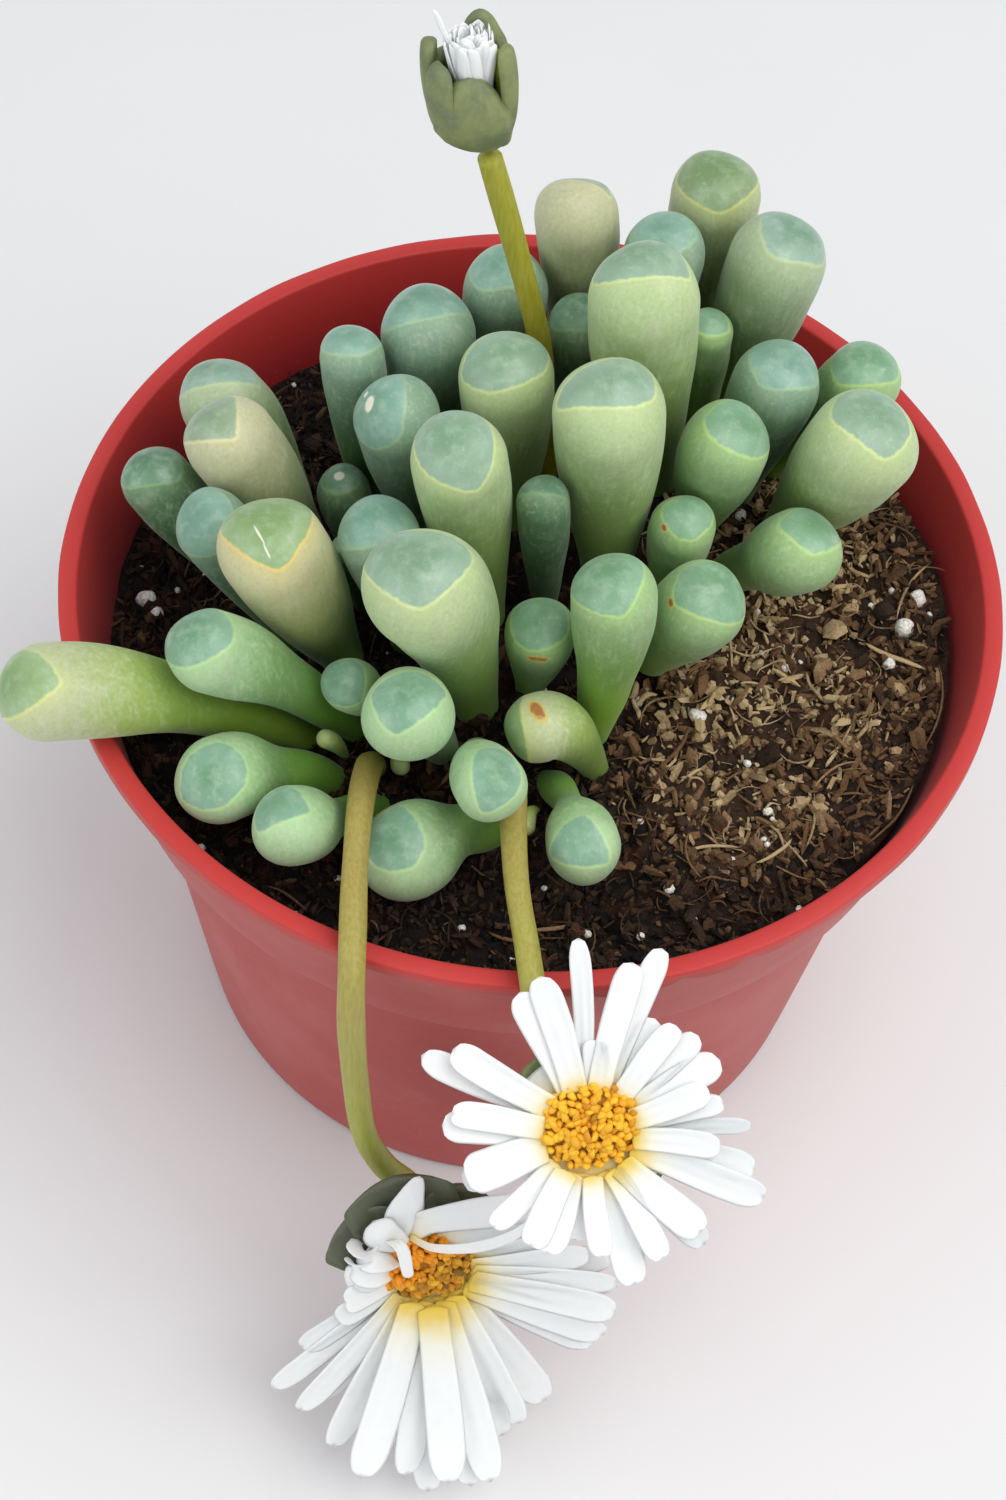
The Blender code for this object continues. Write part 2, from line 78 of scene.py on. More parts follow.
# Leaves and bracts: name, foot (x, y), tip centre (x, y, z), tip radius, extra rise of the middle.
LEAVES = (
    ("leaf_01", (1.5, 33.5), (-1.5, 27.5, 89.5), 4.4, 0.5),
    ("leaf_02", (-4.5, 31.5), (-3.0, 26.5, 85.5), 4.5, 0.0),
    ("leaf_03", (15.0, 37.0), (14.0, 32.0, 90.5), 4.8, 0.5),
    ("leaf_04", (9.5, 32.5), (12.5, 29.0, 90.5), 4.3, 0.0),
    ("leaf_05", (19.5, 30.0), (22.0, 24.5, 92.0), 5.1, 0.5),
    ("leaf_06", (13.5, 21.0), (9.5, 14.0, 97.0), 5.6, 0.0),
    ("leaf_07", (-12.5, 21.5), (-13.5, 18.0, 84.0), 5.0, 0.0),
    ("leaf_08", (-19.0, 14.5), (-20.0, 13.0, 85.0), 3.4, 0.0),
    ("leaf_09", (-3.0, 14.0), (-4.5, 10.0, 87.0), 4.9, 0.0),
    ("leaf_10", (4.5, 26.5), (2.5, 21.0, 82.5), 3.8, 0.5),
    ("leaf_11", (16.5, 24.0), (14.5, 19.0, 85.5), 2.5, 0.5),
    ("leaf_12", (22.0, 19.5), (24.0, 13.0, 84.5), 4.6, 0.5),
    ("leaf_13", (25.5, 23.0), (32.0, 16.5, 83.0), 4.0, 0.5),
    ("leaf_14", (27.0, 15.5), (31.0, 7.0, 86.5), 5.7, 0.0),
    ("leaf_15", (18.0, 14.5), (19.0, 6.0, 85.5), 4.5, 0.0),
    ("leaf_20", (14.5, 3.0), (14.5, 0.0, 79.0), 3.4, 0.0),
    ("leaf_21", (20.5, 8.0), (27.0, -1.5, 77.5), 4.4, -2.0),
    ("leaf_22", (13.5, -4.5), (17.0, -10.0, 78.0), 4.6, 0.0),
    ("leaf_16", (8.0, 5.5), (5.5, 0.0, 93.0), 5.6, 0.5),
    ("leaf_17", (-13.0, 11.5), (-15.5, 6.5, 84.0), 4.5, 0.0),
    ("leaf_18", (-4.5, 0.0), (-7.5, -5.5, 91.5), 4.8, 0.0),
    ("leaf_19", (1.5, 0.5), (-1.0, -3.5, 85.0), 2.7, 0.0),
    ("leaf_23", (7.0, -14.5), (7.5, -15.5, 85.5), 4.3, 0.0),
    ("leaf_24", (0.5, -9.0), (0.0, -13.0, 74.0), 3.6, 0.5),
    ("leaf_25", (-4.5, -12.5), (-10.5, -20.5, 87.0), 5.9, 1.0),
    ("leaf_26", (-13.0, -4.0), (-15.5, -8.5, 82.0), 4.1, 0.0),
    ("leaf_27", (-19.5, 7.0), (-22.0, 7.0, 70.0), 2.9, 0.0),
    ("leaf_28", (-19.5, -6.5), (-25.5, -11.0, 83.0), 5.4, 0.0),
    ("leaf_29", (-24.5, -5.0), (-32.0, -4.5, 78.0), 3.9, 0.0),
    ("leaf_30", (-24.5, 8.5), (-32.5, 3.0, 80.0), 4.8, -0.5),
    ("leaf_31", (-27.0, 14.5), (-34.0, 12.5, 75.5), 4.6, 0.5),
    ("leaf_32", (-28.5, 1.0), (-39.0, 3.5, 74.5), 3.8, -0.5),
    ("leaf_43", (-18.5, 1.0), (-19.5, -3.5, 73.0), 1.9, 0.0),
    ("leaf_33", (-21.5, -17.5), (-46.0, -26.5, 76.0), 4.9, 2.0),
    ("leaf_34", (-16.5, -16.5), (-31.5, -21.5, 78.0), 4.2, 0.5),
    ("leaf_35", (-13.0, -16.0), (-17.5, -19.5, 71.5), 2.8, 0.5),
    ("leaf_36", (-7.5, -18.0), (-7.5, -25.5, 77.5), 4.6, 0.0),
    ("leaf_39", (-18.0, -22.0), (-28.5, -29.0, 68.0), 4.5, 1.0),
    ("leaf_40", (-13.5, -24.5), (-22.5, -32.5, 69.0), 4.0, -1.5),
    ("bract_left_outer", (-18.0, -19.5), (-20.5, -20.0, 65.0), 1.0, 0.0),
    ("bract_left_inner", (-12.5, -20.0), (-11.5, -21.5, 64.0), 1.0, 0.0),
    ("leaf_37", (-3.5, -17.5), (-3.5, -30.0, 76.5), 3.6, 1.5),
    ("leaf_38", (8.0, -20.0), (-2.5, -25.0, 70.5), 3.5, 3.5),
    ("leaf_41", (0.5, -26.0), (-11.5, -33.5, 66.0), 4.9, 0.5),
    ("leaf_42", (3.0, -20.5), (7.0, -33.5, 68.0), 3.7, 0.5),
    ("bract_right", (2.0, -24.5), (2.5, -28.0, 63.5), 0.9, 0.0),
)

# Flower stems: the points that each passes through, foot first.
STEM_STEP = 4.0
STEM_LEFT_RADIUS = 1.35
STEM_RIGHT_RADIUS = 1.3
STEM_BUD_RADIUS = 1.2
STEM_LEFT = (
    (-14.8, -20.0, 59.0),
    (-15.0, -25.0, 66.0),
    (-15.1, -32.0, 69.6),
    (-14.8, -40.0, 70.3),
    (-14.3, -46.5, 70.3),
    (-14.0, -50.5, 69.0),
    (-13.9, -52.0, 62.0),
    (-13.5, -52.0, 50.0),
    (-12.6, -52.0, 38.0),
    (-10.4, -51.6, 29.5),
    (-7.8, -50.8, 23.6),
    (-6.5, -51.6, 21.6),
    (-6.0, -53.6, 21.9),
)
STEM_RIGHT = (
    (-0.2, -21.5, 59.7),
    (-0.1, -26.0, 66.5),
    (0.2, -33.0, 69.4),
    (1.0, -40.0, 70.4),
    (2.4, -46.5, 70.4),
    (3.4, -50.9, 69.6),
    (4.4, -53.0, 65.2),
    (6.2, -53.2, 59.0),
    (8.3, -52.3, 54.6),
    (9.5, -53.4, 53.9),
    (9.8, -56.1, 56.6),
)
STEM_BUD = (
    (0.5, 19.5, 59.7),
    (-0.2, 18.6, 72.0),
    (-1.4, 18.0, 84.0),
    (-4.2, 18.2, 96.0),
    (-7.9, 19.0, 109.5),
)

# Flowers: the disc's centre and the way each flower faces.
LEFT_CENTRE = (-4.6, -60.1, 24.0)
LEFT_FACING = (0.2, -0.93, 0.3)
RIGHT_CENTRE = (9.8, -61.0, 61.5)
RIGHT_FACING = (0.0, -0.71, 0.71)
BUD_FOOT = (-8.0, 19.05, 110.1)
BUD_FACING = (-0.16, 0.13, 1.0)

# Windows: finish, then the corners (turn, reach) in degrees. Turn 0 is the side towards -Y and
# 90 the side towards +X of an upright leaf; reach is the angle from the leaf's tip.
WINDOWS = {
    "leaf_01": ("tan", ((-108, 72), (99, 58), (175, 88))),
    "leaf_02": ("blue", ((-48, 47), (51, 30), (111, 44), (180, 65), (-98, 62))),
    "leaf_03": ("olive", ((6, 60), (105, 64), (180, 60), (-86, 64))),
    "leaf_04": ("blue", ((-69, 63), (-27, 47), (33, 32), (102, 42), (180, 60), (-110, 64))),
    "leaf_05": ("grey", ((-25, 32), (75, 64), (150, 70), (-155, 58), (-84, 30))),
    "leaf_06": ("pale", ((-87, 68), (-60, 38), (27, 17), (84, 52), (180, 75))),
    "leaf_07": ("blue", ((-72, 76), (-42, 42), (57, 24), (99, 74), (180, 65))),
    "leaf_08": ("blue", ((-60, 50), (40, 40), (110, 70), (180, 60), (-110, 75))),
    "leaf_09": ("pale", ((-18, 52), (78, 56), (125, 70), (180, 50), (-75, 70))),
    "leaf_10": ("dark", ((-65, 56), (68, 58), (150, 60), (-150, 60))),
    "leaf_11": ("fresh", ((-70, 50), (10, 42), (75, 58), (180, 55))),
    "leaf_12": ("blue", ((-39, 43), (78, 55), (135, 70), (-125, 64))),
    "leaf_13": ("fresh", ((-57, 71), (78, 38), (150, 60), (-123, 95))),
    "leaf_14": ("pale", ((24, 36), (100, 42), (165, 62), (-140, 66), (-99, 52))),
    "leaf_15": ("fresh", ((57, 56), (95, 80), (180, 55), (-110, 43), (-57, 30), (15, 33))),
    "leaf_16": ("pale", ((-44, 66), (54, 33), (75, 55), (140, 62), (-75, 78))),
    "leaf_17": ("blue", ((-27, 80), (15, 52), (85, 18), (165, 45), (-120, 80), (-65, 88))),
    "leaf_18": ("pale", ((30, 74), (98, 50), (160, 60), (-110, 66), (-57, 57))),
    "leaf_19": ("dark", ((-85, 60), (85, 60), (180, 70))),
    "leaf_20": ("fresh", ((-22, 43), (25, 46), (100, 58), (170, 55), (-98, 48))),
    "leaf_21": ("fresh", ((-20, 16), (118, 55), (180, 75), (-108, 66))),
    "leaf_22": ("fresh", ((-69, 54), (-5, 34), (42, 44), (78, 62), (150, 62), (-130, 60))),
    "leaf_23": ("fresh", ((15, 62), (117, 46), (170, 60), (-120, 75), (-78, 76))),
    "leaf_24": ("fresh", ((-60, 58), (-28, 55), (15, 48), (75, 52), (150, 60), (-120, 60))),
    "leaf_25": ("pale", ((18, 31), (115, 76), (180, 70), (-117, 78))),
    "leaf_26": ("blue", ((-69, 74), (-15, 46), (60, 52), (105, 86), (180, 60))),
    "leaf_27": ("dark", ((0, 48), (60, 48), (120, 48), (180, 48), (-120, 48), (-60, 48))),
    "leaf_28": ("cream", ((27, 58), (130, 78), (-170, 70), (-112, 60))),
    "leaf_29": ("blue", ((-57, 82), (20, 84), (96, 56), (180, 55), (-115, 78))),
    "leaf_30": ("tan", ((45, 42), (153, 48), (-150, 70), (-84, 66))),
    "leaf_31": ("grey", ((-74, 54), (63, 38), (88, 90), (150, 80), (-130, 70))),
    "leaf_32": ("dark", ((-45, 52), (66, 88), (150, 70), (-130, 62))),
    "leaf_33": ("lime", ((60, 88), (16, 36), (-70, 48), (-150, 52), (129, 68))),
    "leaf_34": ("mint", ((9, 39), (78, 80), (108, 84), (165, 80), (-135, 80), (-88, 48))),
    "leaf_35": ("mint", ((-57, 64), (39, 70), (135, 64), (-130, 64))),
    "leaf_36": ("mint", ((-30, 27), (126, 72), (180, 72), (-114, 67))),
    "leaf_37": ("mint", ((-138, 93), (-14, 38), (132, 50), (175, 95))),
    "leaf_38": ("lime", ((54, 50), (20, 45), (-60, 60), (-140, 62), (144, 88))),
    "leaf_39": ("mint", ((25, 52), (60, 92), (90, 100), (122, 88), (150, 45), (-60, 10))),
    "leaf_40": ("mint", ((102, 64), (-81, 24), (-130, 55), (170, 80))),
    "leaf_41": ("mint", ((126, 102), (63, 98), (42, 72), (51, 36), (144, 38))),
    "leaf_42": ("mint", ((-141, 105), (-57, 71), (147, 39), (-177, 60))),
    "leaf_43": ("dark", ((-80, 60), (80, 60), (180, 70))),
}

# Leaves whose round tip stands on a slim neck: how much slimmer it is half way along.
NECKS = {
    "leaf_21": 0.22, "leaf_23": 0.12, "leaf_33": 0.16, "leaf_34": 0.18, "leaf_35": 0.25, "leaf_36": 0.15,
    "leaf_37": 0.30, "leaf_39": 0.32, "leaf_40": 0.38, "leaf_41": 0.32, "leaf_42": 0.50,
}

# Scars on the leaves: leaf, turn and reach of the middle, half length, half width, tilt, mark.
SCARS = (
    ("leaf_24", 0, 66, 1.3, 0.42, 0, "rust"),
    ("leaf_20", -60, 44, 0.5, 0.35, 0, "rust"),
    ("leaf_22", -72, 56, 0.6, 0.4, 0, "rust"),
    ("leaf_38", 88, 84, 1.5, 0.8, 0, "rust"),
    ("leaf_17", -85, 34, 1.0, 0.6, -30, "chalk"),
    ("leaf_17", -110, 44, 0.45, 0.35, -20, "chalk"),
    ("leaf_27", 0, 4, 0.65, 0.65, 0, "chalk"),
    ("leaf_28", 30, 14, 1.2, 0.13, 90, "chalk"),
    ("leaf_28", 26, 32, 1.2, 0.10, 84, "chalk"),
)

LEAF_SIDES = 84
LEAF_RINGS = 58
CAP_RINGS = 26
TIP_LENGTH = 1.06
FACET_HEIGHT = 1.0
FACET_POWER = 9.0
EDGE_SOFTNESS = 0.06
EDGE_RIDGE = 0.05


# Shader sockets that take part in Python's arithmetic, and the one method that adds a node.
class Socket:
    """A socket of a material: each operator on it adds a Math node and gives its result."""

    def __init__(self, finish, link):
        self.finish = finish
        self.link = link

    def maths(self, operation, *values):
        return self.finish.node("Math", {"operation": operation}, dict(enumerate(values)))

    def __add__(self, other):
        return self.maths("ADD", self, other)

    def __radd__(self, other):
        return self.maths("ADD", other, self)

    def __sub__(self, other):
        return self.maths("SUBTRACT", self, other)

    def __rsub__(self, other):
        return self.maths("SUBTRACT", other, self)

    def __mul__(self, other):
        return self.maths("MULTIPLY", self, other)

    def __rmul__(self, other):
        return self.maths("MULTIPLY", other, self)

    def __abs__(self):
        return self.maths("ABSOLUTE", self)

    def between(self, low, high):
        """0 below low, 1 above high, and a smooth step from one to the other."""
        settings = {"interpolation_type": "SMOOTHSTEP"}
        return self.finish.node("MapRange", settings, {0: self, 1: low, 2: high})


class Finish:
    """A material with a Principled shader."""

    def __init__(self, name, **constants):
        self.material = bpy.data.materials.new(name)
        self.material.use_nodes = True
        self.tree = self.material.node_tree
        self.shader = self.tree.nodes["Principled BSDF"]
        self.fill(self.shader, {key.replace("_", " "): value for key, value in constants.items()})

    def fill(self, node, values):
        for key, value in values.items():
            if isinstance(value, Socket):
                self.tree.links.new(value.link, node.inputs[key])
            else:
                node.inputs[key].default_value = value

    def node(self, kind, settings, values, output=0):
        """Adds one node: its settings first, then its sockets. Gives one of its outputs."""
        made = self.tree.nodes.new("ShaderNode" + kind)
        for key, value in settings.items():
            setattr(made, key, value)
        self.fill(made, values)
        return Socket(self, made.outputs[output])

    def place(self):
        return self.node("TexCoord", {}, {}, "Object")

    def mark(self, name):
        return self.node("Attribute", {"attribute_name": name}, {}, "Fac")

    def noise(self, size, detail=2.0, rough=0.5, stretch=(1.0, 1.0, 1.0)):
        """Clouds about size millimetres across, from 0 to 1."""
        spot = self.node("Mapping", {}, {"Vector": self.place(), "Scale": stretch})
        values = {"Vector": spot, "Scale": 1.0 / (size * MM), "Detail": detail, "Roughness": rough}
        return self.node("TexNoise", {}, values, "Fac")

    def cells(self, size):
        """Distance to the nearest of scattered points about size millimetres apart."""
        values = {"Vector": self.place(), "Scale": 1.0 / (size * MM)}
        return self.node("TexVoronoi", {}, values, "Distance")

    def mix(self, share, first, second):
        """The first colour where share is 0 and the second where it is 1."""
        return self.node("Mix", {"data_type": "RGBA"}, {0: share, 6: first, 7: second}, 2)

    def bump(self, height, depth, under=None):
        """A normal bent by a height from 0 to 1 that stands for depth millimetres."""
        values = {"Height": height, "Distance": depth * MM}
        if under is not None:
            values["Normal"] = under
        return self.node("Bump", {}, values)

    def wear(self, **links):
        self.fill(self.shader, {key.replace("_", " "): value for key, value in links.items()})
        return self.material


def tint(red, green, blue):
    """A display colour of 0 to 255 as the linear colour that a socket takes."""
    linear = []
    for part in (red, green, blue):
        share = part / 255.0
        linear.append(share / 12.92 if share <= 0.04045 else ((share + 0.055) / 1.055) ** 2.4)
    return (*linear, 1.0)


# Palettes of the leaves: window, deep window, window's edge, frosted skin, flesh, foot.
LEAF_PALETTES = {
    "blue": ((136, 174, 158), (108, 150, 130), (166, 196, 158), (130, 160, 138), (88, 124, 92), (78, 120, 46)),
    "dark": ((108, 146, 118), (78, 118, 88), (138, 170, 124), (94, 128, 94), (60, 98, 60), (54, 92, 30)),
    "pale": ((148, 176, 152), (122, 156, 126), (212, 224, 158), (176, 196, 144), (138, 164, 88), (124, 160, 46)),
    "grey": ((144, 174, 156), (116, 150, 126), (188, 204, 158), (164, 182, 146), (126, 152, 100), (104, 138, 50)),
    "olive": ((138, 160, 118), (114, 142, 94), (204, 208, 134), (172, 184, 140), (134, 154, 96), (98, 132, 46)),
    "tan": ((148, 168, 138), (128, 152, 118), (222, 216, 166), (190, 190, 152), (158, 168, 118), (122, 144, 74)),
    "fresh": ((132, 172, 140), (104, 148, 108), (184, 214, 136), (150, 184, 128), (116, 160, 72), (138, 182, 34)),
    "cream": ((152, 178, 128), (126, 158, 98), (234, 206, 116), (206, 200, 156), (180, 184, 118), (98, 136, 36)),
    "mint": ((130, 170, 144), (102, 146, 112), (184, 216, 154), (166, 200, 152), (130, 170, 106), (108, 154, 54)),
    "lime": ((152, 178, 128), (128, 158, 98), (214, 218, 140), (188, 196, 152), (150, 176, 84), (112, 142, 44)),
    "bract": ((190, 206, 140), (176, 196, 120), (206, 214, 150), (190, 206, 134), (170, 192, 96), (150, 180, 60)),
}


def leaf_finish(name, palette):
    """Waxy skin, frosted near the tip, round a glassy window with a thin pale edge.

    The edge mark is millimetres inside the window, negative outside it, line is how well its
    edge shows, and along is 0 at the foot and 1 at the tip.
    """
    glass, deep, edge_line, frost, flesh, foot = (tint(*colour) for colour in palette)
    leaf = Finish("leaf_" + name, Subsurface_Weight=0.25, Subsurface_Scale=0.0016,
                  Subsurface_Radius=(0.7, 1.0, 0.3), Sheen_Weight=0.20, Sheen_Roughness=0.4,
                  Sheen_Tint=(0.86, 1.0, 0.92, 1.0), Specular_IOR_Level=0.5)
    along = leaf.mark("along")
    clouds = leaf.noise(3.2, 3.0)
    patches = leaf.noise(1.5, 4.0, 0.6)
    mottle = leaf.noise(0.42, 3.0, 0.6)
    streak = leaf.noise(0.55, 2.0, 0.5, (1.0, 1.0, 0.16))
    wander = leaf.noise(0.8, 3.0, 0.6)
    edge = leaf.mark("edge") + (wander - 0.5) * 0.5
    inside = edge.between(-0.14, 0.18)
    border = 1.0 - abs(edge + 0.05).between(0.0, 0.32)
    halo = 1.0 - (0.0 - edge).between(0.0, 2.2)

    skin = leaf.mix((along + (clouds - 0.5) * 0.3).between(0.28, 0.72), foot, flesh)
    skin = leaf.mix((along + (streak - 0.5) * 0.25 + (patches - 0.5) * 0.35).between(0.62, 1.06), skin, frost)
    fleck = mottle.between(0.5, 0.7) * (patches.between(0.35, 0.7) * 0.8 + 0.2) * along.between(0.35, 0.9)
    skin = leaf.mix(fleck * 0.26, skin, tint(222, 232, 206))
    skin = leaf.mix(streak.between(0.52, 0.72) * along.between(0.2, 0.7) * 0.16, skin, tint(214, 228, 186))
    skin = leaf.mix((0.5 - mottle).between(0.02, 0.18) * 0.13, skin, tint(76, 116, 56))
    skin = leaf.mix(clouds.between(0.5, 0.7) * along.between(0.6, 1.0) * 0.20, skin, tint(192, 188, 172))
    skin = leaf.mix(halo * leaf.mark("line") * 0.26, skin, edge_line)
    pane = leaf.mix((edge + (clouds - 0.5) * 2.4).between(0.0, 3.6), glass, deep)
    pane = leaf.mix(patches.between(0.42, 0.72) * 0.34, pane, tint(184, 206, 184))
    pane = leaf.mix(mottle.between(0.58, 0.74) * 0.18, pane, tint(206, 228, 212))
    shade = leaf.mix(inside, skin, pane)
    shade = leaf.mix(border * (0.30 + patches * 0.85) * leaf.mark("line"), shade, edge_line)
    shade = leaf.mix(leaf.mark("chalk").between(0.3, 0.7), shade, tint(226, 222, 204))
    shade = leaf.mix((leaf.mark("rust") + (mottle - 0.5) * 0.3).between(0.22, 0.45), shade, tint(206, 190, 112))
    core = (leaf.mark("rust") + (mottle - 0.5) * 0.4).between(0.5, 0.8)
    shade = leaf.mix(core * patches.between(0.3, 0.5), shade, tint(170, 110, 58))

    rough = 0.50 - 0.17 * inside + (mottle - 0.5) * 0.14
    relief = leaf.bump(mottle * (1.0 - 0.8 * inside), 0.03)
    relief = leaf.bump(streak + patches * 0.6, 0.05, relief)
    return leaf.wear(Base_Color=shade, Roughness=rough, Normal=relief)


def pot_finish():
    """Moulded red plastic, scuffed outside and cleaner inside; painted shade darkens the inside and a painted pale
    reflection hazes the outside.
    """
    pot = Finish("red_plastic", Specular_IOR_Level=0.3, Sheen_Weight=0.06, Sheen_Roughness=0.5)
    outside = pot.mark("outside")
    haze_and_painted_reflection = pot.noise(16.0, 4.0, 0.6)
    scuff = pot.noise(1.6, 3.0, 0.6, (1.0, 1.0, 6.0))
    dust = pot.noise(0.5, 2.0)
    # One red plastic in two copies: the dark crimson inside is painted shade, the paler red outside is painted
    # reflection.
    shade = pot.mix(outside, tint(112, 0, 12), tint(174, 64, 58))
    # Pale pink clouds over the outside are a painted reflection; the same clouds also vary the roughness and the bump.
    shade = pot.mix(haze_and_painted_reflection.between(0.4, 0.7) * outside * 0.32, shade, tint(192, 116, 112))
    shade = pot.mix(scuff.between(0.58, 0.72) * outside * 0.16, shade, tint(206, 136, 130))
    shade = pot.mix(dust.between(0.66, 0.78) * 0.10, shade, tint(236, 190, 180))
    shade = pot.mix(pot.mark("ledge") * 0.85, shade, tint(196, 56, 54))
    rough = 0.42 + haze_and_painted_reflection * 0.16 + dust * 0.06
    relief = pot.bump(haze_and_painted_reflection, 0.10)
    relief = pot.bump(scuff, 0.012, relief)
    return pot.wear(Base_Color=shade, Roughness=rough, Normal=relief)


def soil_finish():
    """Moist bark and peat: tone 0 is black, 1 is pale straw."""
    soil = Finish("potting_soil", Roughness=0.92, Specular_IOR_Level=0.25)
    tone = soil.mark("tone")
    grain = soil.noise(0.3, 3.0, 0.65)
    patch = soil.noise(1.8, 3.0)
    rust = soil.noise(3.4, 2.0)
    level = tone + (grain - 0.5) * 0.45 + (patch - 0.5) * 0.22
    shade = soil.mix(level.between(0.0, 0.30), tint(16, 13, 12), tint(62, 45, 33))
    shade = soil.mix(level.between(0.26, 0.62), shade, tint(120, 90, 62))
    shade = soil.mix(level.between(0.58, 1.0), shade, tint(192, 168, 128))
    shade = soil.mix(rust.between(0.55, 0.7) * 0.3, shade, tint(96, 54, 36))
    relief = soil.bump(grain, 0.2)
    return soil.wear(Base_Color=shade, Normal=relief)


def perlite_finish():
    perlite = Finish("perlite", Roughness=0.85)
    grain = perlite.noise(0.3, 3.0)
    shade = perlite.mix(grain.between(0.35, 0.65), tint(206, 200, 190), tint(246, 246, 242))
    return perlite.wear(Base_Color=shade, Normal=perlite.bump(grain, 0.15))


def stem_finish():
    """Olive skin with fine lengthwise streaks: tone 0 is tan olive, 1 green, amber yellower."""
    stem = Finish("stem_olive", Subsurface_Weight=0.12, Subsurface_Scale=0.001,
                  Subsurface_Radius=(0.8, 1.0, 0.3), Specular_IOR_Level=0.45)
    tone = stem.mark("tone")
    fibre = stem.noise(0.30, 3.0, 0.6, (1.0, 0.5, 0.10))
    cloud = stem.noise(3.0, 3.0)
    shade = stem.mix((tone + (cloud - 0.5) * 0.3).between(0.1, 1.0), tint(166, 146, 78), tint(156, 164, 62))
    shade = stem.mix(stem.mark("amber"), shade, tint(162, 150, 26))
    shade = stem.mix(fibre.between(0.4, 0.7) * 0.18, shade, tint(206, 200, 120))
    shade = stem.mix((0.5 - fibre).between(0.0, 0.2) * 0.12, shade, tint(104, 96, 30))
    return stem.wear(Base_Color=shade, Roughness=0.42 + fibre * 0.2, Normal=stem.bump(fibre, 0.05))


def sepal_finish():
    """Thick olive-grey sepals: tone 1 is the fresh green inner face, and negative tone paints shade, a dark grey at -1.
    """
    sepal = Finish("sepal_green", Subsurface_Weight=0.12, Subsurface_Scale=0.001,
                   Subsurface_Radius=(0.7, 1.0, 0.3), Specular_IOR_Level=0.45)
    cloud = sepal.noise(2.8, 3.0, 0.5)
    mottle = sepal.noise(0.5, 3.0, 0.6)
    streak = sepal.noise(0.6, 2.0, 0.5, (1.0, 1.0, 0.2))
    shade = sepal.mix(cloud.between(0.35, 0.65), tint(108, 118, 84), tint(130, 138, 88))
    shade = sepal.mix(mottle.between(0.5, 0.72) * 0.20, shade, tint(156, 164, 118))
    shade = sepal.mix(streak.between(0.5, 0.7) * 0.16, shade, tint(160, 164, 110))
    tone = sepal.mark("tone")
    shade = sepal.mix(tone.between(0.2, 0.9), shade, tint(146, 156, 20))
    # Negative tone mixes in a dark grey painted shade.
    shade = sepal.mix((0.0 - tone).between(0.1, 0.9) * 0.85, shade, tint(92, 96, 82))
    return sepal.wear(Base_Color=shade, Roughness=0.5 + mottle * 0.15, Normal=sepal.bump(mottle, 0.05))


def petal_finish():
    """Satin white petals, cream and then yellow towards the base.

    along is 0 at the base and 1 at the tip, gold draws the yellow further out, and tone paints
    shade: where it is 1 a petal is painted grey as if it lay in shade.
    """
    petal = Finish("petal_white", Subsurface_Weight=0.30, Subsurface_Scale=0.0009,
                   Subsurface_Radius=(1.0, 1.0, 0.9), Specular_IOR_Level=0.4, Sheen_Weight=0.1)
    along = petal.mark("along")
    cloud = petal.noise(2.6, 3.0)
    fine = petal.noise(0.5, 2.0)
    reach = along - petal.mark("gold") * 0.1 + (cloud - 0.5) * 0.12
    # tone mixes in a painted grey shade.
    shade = petal.mix(petal.mark("tone") * 0.9, tint(244, 246, 246), tint(206, 212, 215))
    shade = petal.mix(cloud.between(0.5, 0.8) * 0.25, shade, tint(222, 228, 232))
    shade = petal.mix((1.0 - reach.between(0.02, 0.34)) * 0.75, shade, tint(246, 238, 198))
    shade = petal.mix((1.0 - reach.between(-0.05, 0.17)) * 0.95, shade, tint(232, 196, 52))
    return petal.wear(Base_Color=shade, Roughness=0.46 + fine * 0.14, Normal=petal.bump(fine, 0.03))


def anther_finish():
    """Pollen grains: tone 0 is dark olive ochre, 1 is bright yellow orange."""
    anther = Finish("disc_yellow", Roughness=0.62, Subsurface_Weight=0.15, Subsurface_Scale=0.0005)
    tone = anther.mark("tone")
    shade = anther.mix(tone.between(0.0, 0.4), tint(92, 74, 8), tint(206, 138, 6))
    shade = anther.mix(tone.between(0.35, 0.95), shade, tint(252, 196, 44))
    shade = anther.mix(anther.mark("orange") * tone.between(0.2, 0.6) * 0.8, shade, tint(250, 150, 6))
    return anther.wear(Base_Color=shade, Normal=anther.bump(anther.noise(0.2, 2.0), 0.05))


# Surfaces: grids of points, joined into patches of points, faces and marks.
def lattice(grid, wrap=True, poles=(False, False), marks=None):
    """The patch over a grid of shape (rows, columns, 3).

    wrap joins the last column to the first. A pole draws the first or the last row together
    into one point. marks are values of shape (rows, columns), one for each point.
    """
    rows, columns = grid.shape[:2]
    first = 1 if poles[0] else 0
    last = rows - 1 if poles[1] else rows
    inner = np.arange((last - first) * columns).reshape(last - first, columns)
    after = np.roll(inner, -1, axis=1)
    if not wrap:
        inner, after = inner[:, :-1], after[:, :-1]
    quads = np.stack((inner[:-1], after[:-1], after[1:], inner[1:]), -1).reshape(-1, 4)
    layers = {"points": grid}
    for name, values in (marks or {}).items():
        layers[name] = np.broadcast_to(np.asarray(values, float), (rows, columns))[..., None]
    taken = {}
    for name, values in layers.items():
        parts = [values[first:last].reshape(-1, values.shape[-1])]
        if poles[0]:
            parts.append(values[0].mean(axis=0)[None])
        if poles[1]:
            parts.append(values[-1].mean(axis=0)[None])
        taken[name] = np.vstack(parts)
    tris = [np.zeros((0, 3), int)]
    pole = (last - first) * columns
    if poles[0]:
        tris.append(np.stack((np.full(inner.shape[1], pole), after[0], inner[0]), -1))
        pole += 1
    if poles[1]:
        tris.append(np.stack((inner[-1], after[-1], np.full(inner.shape[1], pole)), -1))
    return {**taken, "quads": quads, "tris": np.vstack(tris)}


